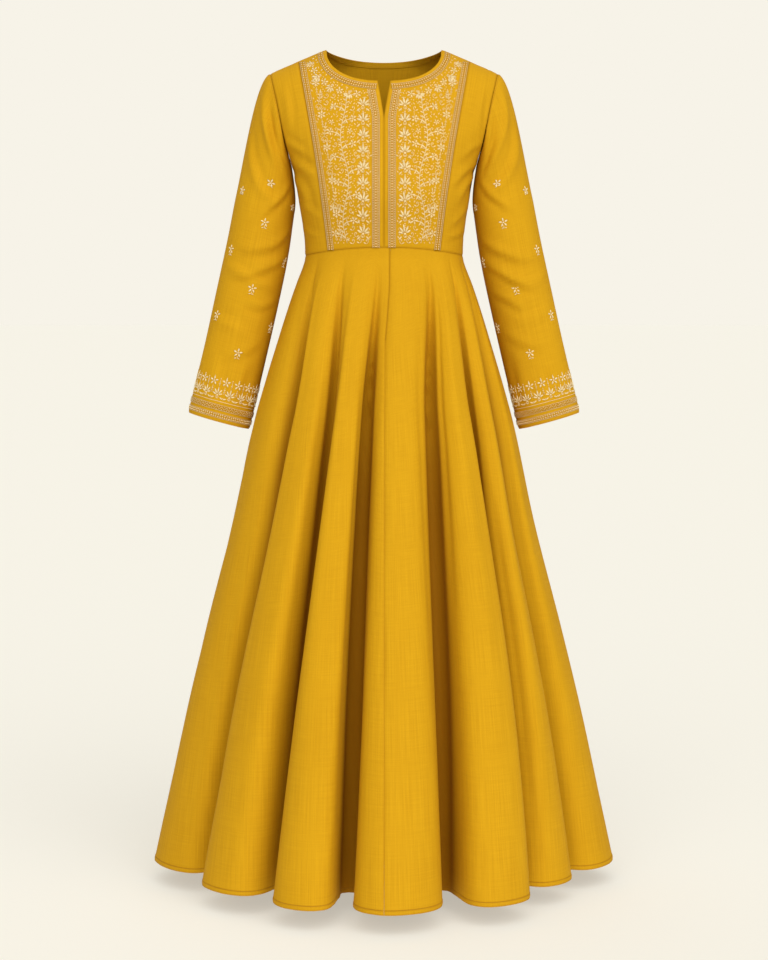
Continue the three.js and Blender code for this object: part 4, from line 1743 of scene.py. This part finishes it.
@dataclass
class SleeveEmbroidery:
    """Single blossoms over the sleeve, and a border of two rows above the cuff's tapes; in mm."""

    side: Side
    rows: tuple[tuple[float, float], ...] = (
        (116, 0.5), (168, 0), (222, 0.5), (276, 0), (330, 0.5), (384, 0), (436, 0.5),
    )
    across: int = 3
    border_repeats: int = 16
    border_line: float = 32.5
    stitching: Stitching = field(init=False)

    def __post_init__(self) -> None:
        """Lays the stitches' ground, by the way round and the way up from the cuff."""

        def surface(u: Array, w: Array) -> Array:
            """Points of the creased sleeve."""
            return Sleeve.outer(self.side, (u / SLEEVE_ROUND) % 1.0, Sleeve.from_cuff(w))

        self.stitching = Stitching(Ground(surface, 0.4 * MM, self.side is Side.LEFT))

    def build(self, thread: bpy.types.Material) -> bpy.types.Object:
        """Makes the embroidery of this sleeve.

        Args:
            thread: its material.

        Returns:
            The finished object.
        """
        work = self.stitching
        full = SLEEVE_ROUND / MM
        for up, shift in self.rows:
            for k in range(self.across):
                at = ((k + shift) * full / self.across + 34, up)
                work.blossom(at, 15, 90)
                work.stem([(at[0], at[1] - 5), (at[0] + 0.6, at[1] - 10)], 0.9)
                work.leaf((at[0], at[1] - 8), 200, 5, 2)
                work.leaf((at[0], at[1] - 8), -20, 5, 2)
        count = self.border_repeats
        for k in range(count):
            u = (k + 0.5) * full / count
            work.palmette((u, 42), 90, 21)
            work.leaf((u - 4, 39), 205, 7, 2.9)
            work.leaf((u + 4, 39), -25, 7, 2.9)
            half = u + full / count / 2
            work.blossom((half, 64), 14.5, 90)
            work.sprig((half, 45), 90, 9, 2)
            work.sprig((u, 56), 90, 9, 1)
            work.bead((u, 69), 0.9)
            work.bead((half, 72), 0.9)
            work.bead((half, 38), 0.9)
        line = [(u, self.border_line) for u in np.linspace(0, full - 0.01, 97)]
        work.stem(line, 0.9)
        return work.build(f"embroidery_sleeve_{self.side.word}", thread)


class TapeStyle(Enum):
    """What a tape is worked with: rows of beads, beads between cords, or a zigzag."""

    DOTTED = "dotted"
    CORDED = "corded"
    ZIGZAG = "zigzag"


@dataclass
class Tape:
    """A narrow worked band on a ground: its two edges across, its two ends along; in mm."""

    name: str
    node: str
    ground: Ground
    across: tuple[float, float]
    along: tuple[float, float]
    style: TapeStyle
    ring: bool = False
    rows: int = 120

    def band(self, cloth: bpy.types.Material) -> bpy.types.Object:
        """The woven band under the beads.

        Args:
            cloth: its material.

        Returns:
            The band.
        """
        a = np.linspace(*self.across, 5)
        b = np.linspace(*self.along, self.rows)
        a, b = np.meshgrid(a, b, indexing="ij")
        place, _, _, out = self.place(a.ravel(), b.ravel())
        edge = np.minimum(a - self.across[0], self.across[1] - a)
        rise = (0.45 + 0.25 * np.clip(edge / 1.0, 0, 1)).ravel()
        points = (place + out * (rise * MM)[:, None]).reshape(*a.shape, 3)
        n, m = a.shape
        corners = cell_corners(n, m)
        faces = np.stack([p * m + (q % (m - 1) if self.ring else q) for p, q in corners], -1)
        faces = faces.reshape(-1, 4)
        if self.ground.mirrored != self.ring:
            faces = faces[:, ::-1]
        if self.ring:
            keep = np.arange(n * m).reshape(n, m)[:, :-1].ravel()
            number = np.zeros(n * m, int)
            number[keep] = np.arange(len(keep))
            points, faces = points.reshape(-1, 3)[keep], number[faces]
        piece = mesh_object(self.name, points, faces)
        piece.data.materials.append(cloth)
        apply_modifier(piece, "SOLIDIFY", thickness=0.4 * MM, offset=-1.0)
        return piece

    def place(self, a: Array, b: Array) -> tuple[Array, Array, Array, Array]:
        """The ground's frames at places across and along the tape."""
        if self.ring:
            return self.ground.frames(b * MM, a * MM)
        return self.ground.frames(a * MM, b * MM)

    def work(self) -> Stitching:
        """The beads and cords of the band.

        Returns:
            The stitches.
        """
        stitching = Stitching(self.ground, raise_by=0.6 * MM)
        low, high = self.across
        width, length = high - low, abs(self.along[1] - self.along[0])

        def at(a: float, b: float) -> tuple[float, float]:
            """A place on the ground, from one across and along the tape."""
            return (b, a) if self.ring else (a, b)

        def cord(a: float) -> None:
            """A thin cord along the tape."""
            ends = np.linspace(self.along[0], self.along[1], max(int(length / 3), 8))
            stitching.stem([at(a, b) for b in ends], 0.6, 0.6)

        def beads(a: float, pitch: float, radius: float) -> None:
            """A row of beads along the tape.

            Args:
                a: the row's place across the tape.
                pitch: from bead to bead.
                radius: of one bead.
            """
            count = int(length / pitch)
            for k in range(count):
                b = mix(self.along[0], self.along[1], (k + 0.5) / count)
                stitching.bead(at(a, b), radius, 1.0)

        cord(low + 0.5)
        cord(high - 0.5)
        if self.style is TapeStyle.DOTTED:
            beads(low + 0.3 * width, 3.7, 1.1)
            beads(low + 0.7 * width, 3.7, 1.1)
        elif self.style is TapeStyle.CORDED:
            cord(low + 0.27 * width)
            cord(high - 0.27 * width)
            beads(low + 0.5 * width, 4.2, 1.3)
            beads(low + 0.155 * width, 3.4, 0.75)
            beads(high - 0.155 * width, 3.4, 0.75)
        else:
            count = int(length / 4.1) // 2 * 2
            line = []
            for k in range(count + 1):
                a = low + width * (0.25 if k % 2 else 0.75)
                line.append(at(a, mix(self.along[0], self.along[1], k / count)))
                shift = mix(self.along[0], self.along[1], min((k + 0.02) / count, 1))
                stitching.bead(at(low + width * (0.78 if k % 2 else 0.22), shift), 0.7)
            stitching.stem(line, 0.9)
        return stitching

    def build(self, cloth: bpy.types.Material, thread: bpy.types.Material) -> bpy.types.Object:
        """Makes the band and its beads as one piece.

        Args:
            cloth: the material of the band.
            thread: the material of the beads and cords.

        Returns:
            The finished object.
        """
        band = self.band(cloth)
        beads = mesh_object(f"{self.name}_beads", *self.work().mesh_parts())
        beads.data.materials.append(thread)
        bpy.ops.object.select_all(action="DESELECT")
        band.select_set(True)
        beads.select_set(True)
        bpy.context.view_layer.objects.active = band
        bpy.ops.object.join()
        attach(band, "root")
        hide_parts(self.node)
        LOG.info("%s: %d triangles", self.name, len(band.data.polygons))
        return band


@dataclass(frozen=True)
class Tapes:
    """The tapes of one side: at the neck, the placket, the princess seam and the cuff; in mm."""

    side: Side
    neck: tuple[float, float] = (5, 14)
    placket: tuple[float, float] = (6.5, 18.5)
    princess: tuple[float, float] = (1.5, 11)
    cuff_lower: tuple[float, float] = (6, 14)
    cuff_upper: tuple[float, float] = (18.5, 27.5)
    princess_top: float = -22.5
    placket_gap: float = 14.9
    cuff_rows: int = 97
    reach: float = 20 * MM

    def tape(self, kind: str, ground: Ground, along: tuple[float, float], style: TapeStyle) -> Tape:
        """One tape of this side, as wide as its field says.

        Args:
            kind: the tape's name, which is also its field's.
            ground: the surface that it lies on.
            along: where it starts and ends.
            style: what it is worked with.

        Returns:
            The tape.
        """
        node = f"tape_{kind}_{self.side.word}"
        ring = kind.startswith("cuff")
        rows = self.cuff_rows if ring else Tape.rows
        return Tape(f"{node}_band", node, ground, getattr(self, kind), along, style, ring, rows)

    def all(self) -> list[Tape]:
        """The five tapes of this side.

        Returns:
            The tapes, from the neck to the cuff.
        """
        right = self.side is Side.RIGHT
        angles = np.linspace(Bodice.notch_bearing, math.pi / 2, 400)
        x, z = Bodice.neckline(angles, 9.5 * MM)
        run = np.concatenate([[0], np.cumsum(np.hypot(np.diff(x), np.diff(z)))])

        def neck(a: Array, b: Array) -> tuple[Array, Array]:
            """x and the height at a distance from the neckline, and along it.

            Args:
                a: the distance from the neckline.
                b: the distance along it.

            Returns:
                x and the height.
            """
            bearing = np.interp(b, run, angles)
            near, far = Bodice.neckline(bearing), Bodice.neckline(bearing, self.reach)
            x, z = (mix(close, wide, a / self.reach) for close, wide in zip(near, far))
            return x, np.minimum(z, Form.shoulder(x))

        def placket(a: Array, b: Array) -> tuple[Array, Array]:
            """x and the height beside the slit and the centre seam."""
            return Bodice.notch_half(b) + a, b

        def princess(a: Array, b: Array) -> tuple[Array, Array]:
            """x and the height beside the princess seam."""
            return Form.princess(b) - a, b

        def ground(line: Line, mirrored: bool) -> Ground:
            """The front, by one of these lines."""
            return front_ground(self.side, line, 0.2 * MM, mirrored)

        waist, top = -WAIST / MM, -(NECK_DROP_FRONT / MM + self.placket_gap)
        front_seam = ground(princess, not right)
        cuff = SleeveEmbroidery(self.side).stitching.ground
        round_arm = (0.0, SLEEVE_ROUND / MM)
        dotted, corded, zigzag = TapeStyle
        return [
            self.tape("neck", ground(neck, right), (0.2, run[-1] / MM - 0.5), dotted),
            self.tape("placket", ground(placket, right), (waist - 0.6, top), corded),
            self.tape("princess", front_seam, (waist - 4, self.princess_top), dotted),
            self.tape("cuff_lower", cuff, round_arm, dotted),
            self.tape("cuff_upper", cuff, round_arm, zigzag),
        ]


@dataclass
class RunningStitch:
    """A row of small even stitches along a line on the cloth."""

    name: str
    line: Array
    outward: Array
    pitch: float = 3.3 * MM
    length: float = 2.4 * MM
    half: float = 0.28 * MM
    rise: float = 0.35 * MM

    def build(self, thread: bpy.types.Material) -> bpy.types.Object:
        """Makes the row of stitches as one piece.

        Args:
            thread: its material.

        Returns:
            The piece.
        """
        run = run_lengths(self.line[:, None], 0)[:, 0]
        count = int(run[-1] / self.pitch)
        at = (np.arange(count) + 0.5) * run[-1] / count

        def sample(values: Array, where: Array) -> Array:
            """The row's values at distances along it."""
            return np.stack([np.interp(where, run, values[:, k]) for k in range(3)], -1)

        start = sample(self.line, at - self.length / 2)
        ahead = sample(self.line, at + self.length / 2) - start
        out = sample(self.outward, at)
        side = np.cross(ahead, out)
        side /= np.linalg.norm(side, axis=-1, keepdims=True)
        made = start[:, None] + out[:, None] * 0.05 * MM
        made = made + side[:, None] * LEAF_POINTS[None, :, :1] * self.half
        made = made + ahead[:, None] * LEAF_POINTS[None, :, 1:2]
        made = made + out[:, None] * LEAF_POINTS[None, :, 2:] * self.rise
        faces = LEAF_FACES[None] + (np.arange(count) * len(LEAF_POINTS))[:, None, None]
        piece = mesh_object(self.name, made, faces.reshape(-1, 3))
        piece.data.materials.append(thread)
        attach(piece, "root")
        return piece


# ---- Materials ----


@dataclass(frozen=True)
class ClothFinish:
    """A plain weave with slubs: its colours, thread spacing, strengths and gloss."""

    name: str
    colour: Colour
    shade: Colour
    # The colour of the painted shade, which the cloth is drawn towards in its folds and along
    # seams.
    deep: Colour = (0.25, 0.085, 0.0008, 1)
    spacing: float = 0.45 * MM
    slub: float = 0.6
    mottle: float = 0.35
    bump: float = 0.35
    roughness: float = 0.82
    sheen: float = 0.01
    sheen_tint: Colour = (1, 0.72, 0.3, 1)
    specular: float = 0.1


@dataclass(frozen=True)
class ThreadFinish:
    """Twisted embroidery thread: its colours, roughness and gloss."""

    name: str
    colour: Colour
    shade: Colour
    roughness: float = 0.42
    specular: float = 0.5


class Nodes:
    """A small helper that adds nodes to a tree and joins them up."""

    def __init__(self, tree: bpy.types.NodeTree) -> None:
        """Keeps the tree."""
        self.tree = tree

    def add(self, kind: str, inputs: dict | None = None, **settings: object) -> bpy.types.Node:
        """Adds a node.

        Args:
            kind: the node's type.
            inputs: a value or an output socket for each named or numbered input.
            settings: the node's own settings.

        Returns:
            The node.
        """
        node = self.tree.nodes.new(kind)
        for key, value in settings.items():
            setattr(node, key, value)
        self.feed(node, inputs or {})
        return node

    def feed(self, node: bpy.types.Node, inputs: dict) -> None:
        """Gives each input of a node a value of its own, or a link.

        Args:
            node: the node.
            inputs: a value or an output socket for each named or numbered input.
        """
        for key, value in inputs.items():
            if isinstance(value, bpy.types.NodeSocket):
                self.tree.links.new(value, node.inputs[key])
            else:
                node.inputs[key].default_value = value

    def maths(self, operation: str, a: object, b: object, **settings: object) -> Socket:
        """The result of a math node."""
        return self.add("ShaderNodeMath", {0: a, 1: b}, operation=operation, **settings).outputs[0]

    def plus(self, a: object, b: object, **settings: object) -> Socket:
        """The sum of two values."""
        return self.maths("ADD", a, b, **settings)

    def times(self, a: object, b: object) -> Socket:
        """The product of two values."""
        return self.maths("MULTIPLY", a, b)

    def blend(self, share: Socket, start: object, end: object) -> Socket:
        """The colour at a share of the way from start to end."""
        return self.add("ShaderNodeMix", {0: share, 6: start, 7: end}, data_type="RGBA").outputs[2]


class Effects:
    """The node groups that materials share. Each puts out a colour, roughness and height."""

    @staticmethod
    def new_group(name: str, inputs: dict) -> tuple[Nodes, dict]:
        """An empty group with these input sockets, given by name, socket type and first value.

        Args:
            name: the group's name.
            inputs: the socket type and the first value, or None, by the socket's name.

        Returns:
            The group's nodes, and what comes in by name.
        """
        tree = bpy.data.node_groups.new(name, "ShaderNodeTree")
        for label, (kind, value) in inputs.items():
            socket = tree.interface.new_socket(label, in_out="INPUT", socket_type=kind)
            if value is not None:
                socket.default_value = value
        for label, kind in (
            ("Colour", "NodeSocketColor"), ("Roughness", "NodeSocketFloat"),
            ("Height", "NodeSocketFloat"),
        ):
            tree.interface.new_socket(label, in_out="OUTPUT", socket_type=kind)
        nodes = Nodes(tree)
        return nodes, nodes.add("NodeGroupInput").outputs

    @classmethod
    def weave(cls) -> bpy.types.NodeTree:
        """A plain weave with slubs both ways, and soft mottling.

        Returns:
            The group.
        """
        nodes, given = cls.new_group("slub_weave", {
            "Place": ("NodeSocketVector", None), "Body": ("NodeSocketVector", None),
            "Colour": ("NodeSocketColor", None), "Shade": ("NodeSocketColor", None),
            "Spacing": ("NodeSocketFloat", 0.0005), "Slub": ("NodeSocketFloat", 0.5),
            "Mottle": ("NodeSocketFloat", 0.3), "Roughness": ("NodeSocketFloat", 0.8),
        })
        streaks = []
        for scale, weight in (((800, 9, 1), 0.62), ((24, 760, 1), 0.38)):
            stretched = nodes.add("ShaderNodeMapping", {"Vector": given["Place"], "Scale": scale})
            grain = {"Vector": stretched.outputs[0], "Scale": 1.0, "Detail": 3.0, "Roughness": 0.6}
            streaks.append(nodes.times(nodes.add("ShaderNodeTexNoise", grain).outputs[0], weight))
        slub = nodes.maths("SUBTRACT", nodes.plus(*streaks), 0.5)
        cloudy = {"Vector": given["Body"], "Scale": 7.0, "Detail": 4.0, "Roughness": 0.55}
        clouds = nodes.add("ShaderNodeTexNoise", cloudy).outputs[0]
        mottling = nodes.maths("SUBTRACT", clouds, 0.5)
        place = nodes.add("ShaderNodeSeparateXYZ", {0: given["Place"]}).outputs
        turns = []
        for axis in (0, 1):
            turn = nodes.maths("DIVIDE", nodes.times(place[axis], math.tau), given["Spacing"])
            turns.append(nodes.maths("SINE", turn, 0.0))
        threads = nodes.times(*turns)
        share = nodes.plus(0.62, nodes.times(slub, nodes.times(given["Slub"], 3.0)))
        share = nodes.plus(share, nodes.times(mottling, given["Mottle"]))
        share = nodes.plus(share, nodes.times(threads, 0.06), use_clamp=True)
        nodes.add("NodeGroupOutput", {
            "Colour": nodes.blend(share, given["Shade"], given["Colour"]),
            "Roughness": nodes.plus(given["Roughness"], nodes.times(slub, -0.2)),
            "Height": nodes.plus(nodes.times(threads, 0.35), nodes.times(slub, 1.6)),
        })
        return nodes.tree

    @classmethod
    def twist(cls) -> bpy.types.NodeTree:
        """Fine twisted strands, with small changes of colour from stitch to stitch.

        Returns:
            The group.
        """
        nodes, given = cls.new_group("thread_twist", {
            "Body": ("NodeSocketVector", None), "Colour": ("NodeSocketColor", None),
            "Shade": ("NodeSocketColor", None), "Roughness": ("NodeSocketFloat", 0.45),
        })
        patchy = {"Vector": given["Body"], "Scale": 260.0, "Detail": 2.0}
        patches = nodes.add("ShaderNodeTexNoise", patchy).outputs[0]
        twisted = {"Vector": given["Body"], "Scale": 900.0, "Distortion": 2.0}
        strands = nodes.add("ShaderNodeTexWave", twisted, bands_direction="DIAGONAL").outputs[1]
        share = nodes.plus(nodes.times(patches, 0.9), 0.1)
        share = nodes.plus(share, nodes.times(strands, 0.25), use_clamp=True)
        nodes.add("NodeGroupOutput", {
            "Colour": nodes.blend(share, given["Shade"], given["Colour"]),
            "Roughness": nodes.plus(given["Roughness"], nodes.times(strands, 0.15)),
            "Height": strands,
        })
        return nodes.tree


class Materials:
    """All the finishes of the gown."""

    def __init__(self) -> None:
        """Builds the shared groups and the materials."""
        self.weave, self.twist = Effects.weave(), Effects.twist()
        self.cloth = self.make_cloth(
            ClothFinish("mustard_cloth", (0.655, 0.352, 0.0075, 1), (0.47, 0.222, 0.003, 1))
        )
        self.band = self.make_cloth(
            ClothFinish("tape_ground", (0.50, 0.25, 0.006, 1), (0.34, 0.15, 0.003, 1), slub=0.3)
        )
        self.stitch = self.make_thread(
            ThreadFinish("mustard_stitching", (0.42, 0.19, 0.006, 1), (0.3, 0.12, 0.003, 1), 0.6)
        )
        self.thread = self.make_thread(
            ThreadFinish("champagne_thread", (0.95, 0.81, 0.51, 1), (0.66, 0.45, 0.17, 1))
        )

    @staticmethod
    def dress(name: str, group: bpy.types.NodeTree, values: dict, bump: dict) -> tuple:
        """A new material whose colour, roughness and bump come from a group.

        Args:
            name: the material's name.
            group: the shared effect.
            values: what the group is given.
            bump: the strength and the distance of the bump.

        Returns:
            The material, its nodes, its shader and the group's colour.
        """
        material = bpy.data.materials.new(name)
        material.use_nodes = True
        nodes = Nodes(material.node_tree)
        effect = nodes.add("ShaderNodeGroup", node_tree=group)
        body = nodes.add("ShaderNodeTexCoord").outputs["Object"]
        nodes.feed(effect, {"Body": body, **values})
        raised = nodes.add("ShaderNodeBump", {**bump, "Height": effect.outputs["Height"]})
        shader = material.node_tree.nodes["Principled BSDF"]
        nodes.feed(shader, {"Roughness": effect.outputs["Roughness"], "Normal": raised.outputs[0]})
        return material, nodes, shader, effect.outputs["Colour"]

    def make_cloth(self, finish: ClothFinish) -> bpy.types.Material:
        """The material of a cloth finish, with painted shade that darkens it in hollows and along
        seams.

        Args:
            finish: the colours and strengths.

        Returns:
            The material.
        """
        values = {
            "Colour": finish.colour, "Shade": finish.shade, "Spacing": finish.spacing,
            "Slub": finish.slub, "Mottle": finish.mottle, "Roughness": finish.roughness,
        }
        bump = {"Strength": finish.bump, "Distance": 0.25 * MM}
        material, nodes, shader, woven = self.dress(finish.name, self.weave, values, bump)
        place = nodes.add("ShaderNodeUVMap", uv_map="cloth").outputs[0]
        nodes.feed(woven.node, {"Place": place})
        # Painted shade: the base colour is drawn towards the deep colour by the piece's painted
        # shade attribute.
        hollow = nodes.add("ShaderNodeAttribute", attribute_name="hollow").outputs["Fac"]
        nodes.feed(shader, {
            "Base Color": nodes.blend(hollow, woven, finish.deep),
            "Sheen Weight": finish.sheen,
            "Sheen Roughness": 0.45,
            "Sheen Tint": finish.sheen_tint,
            "Specular IOR Level": finish.specular,
        })
        return material

    def make_thread(self, finish: ThreadFinish) -> bpy.types.Material:
        """The material of a thread finish.

        Args:
            finish: the colours and the roughness.

        Returns:
            The material.
        """
        values = {"Colour": finish.colour, "Shade": finish.shade, "Roughness": finish.roughness}
        bump = {"Strength": 0.3, "Distance": 0.1 * MM}
        material, nodes, shader, twisted = self.dress(finish.name, self.twist, values, bump)
        nodes.feed(shader, {"Base Color": twisted, "Specular IOR Level": finish.specular})
        return material


# ---- Studio ----


@dataclass
class Studio:
    """A pale seamless room with soft light from the front, and the camera."""

    camera_at: tuple[float, float, float] = (0.0, -3.5, -0.4017)
    pitch: float = 4.8035
    lens: float = 80.325
    backdrop: Colour = (0.930, 0.896, 0.807, 1)
    floor_colour: Colour = (0.468, 0.463, 0.431, 1)
    floor_glow: Colour = (0.465, 0.445, 0.388, 1)
    floor_gap: float = 34 * MM
    ambient: float = 0.2
    lobes: tuple[tuple[float, tuple[float, float, float]], ...] = (
        (2.45, (0.16, -0.8, 0.54)),
        (0.45, (-0.35, 0.82, 0.46)),
        (0.45, (0.0, -0.1, 1.0)),
    )
    light_colour: Colour = (1, 0.985, 0.955, 1)
    light_edge: float = 0.55
    floor_radius: float = 80
    sensor: float = 36

    def build(self) -> None:
        """Makes the floor, the light and the camera."""
        scene = bpy.context.scene
        scene.view_settings.view_transform = "Standard"
        self.floor()
        self.light(scene)
        self.camera(scene)

    def floor(self) -> None:
        """Makes the floor, which glows a little so that shadows on it stay soft."""
        bpy.ops.mesh.primitive_circle_add(
            vertices=64,
            radius=self.floor_radius,
            fill_type="NGON",
            location=(0, 0, -LENGTH - self.floor_gap),
        )
        floor = bpy.context.object
        floor.name = "studio_floor"
        paint = bpy.data.materials.new("studio_floor")
        paint.use_nodes = True
        nodes = Nodes(paint.node_tree)
        nodes.feed(paint.node_tree.nodes["Principled BSDF"], {
            "Base Color": self.floor_colour,
            "Emission Color": self.floor_glow,
            "Emission Strength": 1.0,
            "Roughness": 1.0,
            "Specular IOR Level": 0.0,
        })
        floor.data.materials.append(paint)

    def camera(self, scene: bpy.types.Scene) -> None:
        """Makes the camera.

        Args:
            scene: the scene that looks through it.
        """
        camera = bpy.data.cameras.new("camera")
        camera.lens = self.lens
        camera.sensor_width = self.sensor
        holder = bpy.data.objects.new("camera", camera)
        holder.location = self.camera_at
        holder.rotation_euler = (math.radians(90 - self.pitch), 0, 0)
        scene.collection.objects.link(holder)
        scene.camera = holder

    def light(self, scene: bpy.types.Scene) -> None:
        """Gives the room an even glow, brighter from the front and a little from one side.

        Args:
            scene: the scene that it lights.
        """
        world = bpy.data.worlds.new("studio")
        scene.world = world
        world.use_nodes = True
        nodes = Nodes(world.node_tree)
        out = world.node_tree.nodes["World Output"]
        towards = nodes.add("ShaderNodeTexCoord").outputs["Generated"]
        strength = self.ambient
        for power, source in self.lobes:
            aim = np.array(source) / np.linalg.norm(source)
            facing = nodes.add(
                "ShaderNodeVectorMath", {0: towards, 1: tuple(aim)}, operation="DOT_PRODUCT"
            ).outputs["Value"]
            glow = nodes.add(
                "ShaderNodeMapRange",
                {"Value": facing, "From Min": self.light_edge, "From Max": 1.0},
                interpolation_type="SMOOTHSTEP",
            ).outputs[0]
            strength = nodes.plus(nodes.times(glow, power), strength)
        lit = nodes.add("ShaderNodeBackground", {"Color": self.light_colour, "Strength": strength})
        seen = nodes.add("ShaderNodeBackground", {"Color": self.backdrop, "Strength": 1.0})
        path = nodes.add("ShaderNodeLightPath").outputs["Is Camera Ray"]
        shader = nodes.add("ShaderNodeMixShader", {0: path, 1: lit.outputs[0], 2: seen.outputs[0]})
        world.node_tree.links.new(shader.outputs[0], out.inputs[0])


# ---- The whole gown ----

# The grid rows that are stitched: the skirt's hem and the sleeve's seam at the armhole.
STITCH_ROWS = {"skirt": ("hem", 6), "sleeve": ("seam", -5)}
FACING_ROW = 2
FACING_PROUD = 0.62 * MM


def main() -> None:
    """Builds the gown piece by piece, and then the studio."""
    logging.basicConfig(level=logging.INFO, format="%(name)s %(message)s")
    bpy.ops.object.select_all(action="DESELECT")
    finishes = Materials()
    stitched: list[RunningStitch] = []
    trims: dict[str, list[bpy.types.Object]] = {}
    for side in Side:
        yoke = [YokeEmbroidery(side).build(finishes.thread)]
        sleeve = [SleeveEmbroidery(side).build(finishes.thread)]
        for tape in Tapes(side).all():
            (sleeve if tape.ring else yoke).append(tape.build(finishes.band, finishes.thread))
        trims[f"yoke_{side.word}_cloth"] = yoke
        trims[f"sleeve_{side.word}_cloth"] = sleeve
    cloth = [Bodice.back_piece(), Bodice.facing_piece()]
    for side in Side:
        cloth += [*Bodice.pieces(side), Sleeve.piece(side)]
    cloth += Skirt.pieces()
    for piece in cloth:
        piece.finish(finishes.cloth, trims.get(piece.name, []))
        outer, normals = piece.outer()
        kind = piece.name.split("_")[0]
        if kind in STITCH_ROWS:
            label, row = STITCH_ROWS[kind]
            line, outward = outer[:, row], normals[:, row]
            stitched.append(RunningStitch(f"{piece.name}_{label}_stitches", line, outward))
        elif kind == "neck":
            outward = -normals[:, FACING_ROW]
            line = outer[:, FACING_ROW] + outward * FACING_PROUD
            stitched.append(RunningStitch("neck_facing_stitches", line, outward))
    for row in stitched:
        row.build(finishes.stitch)
    Studio().build()


if __name__ == "__main__":
    main()
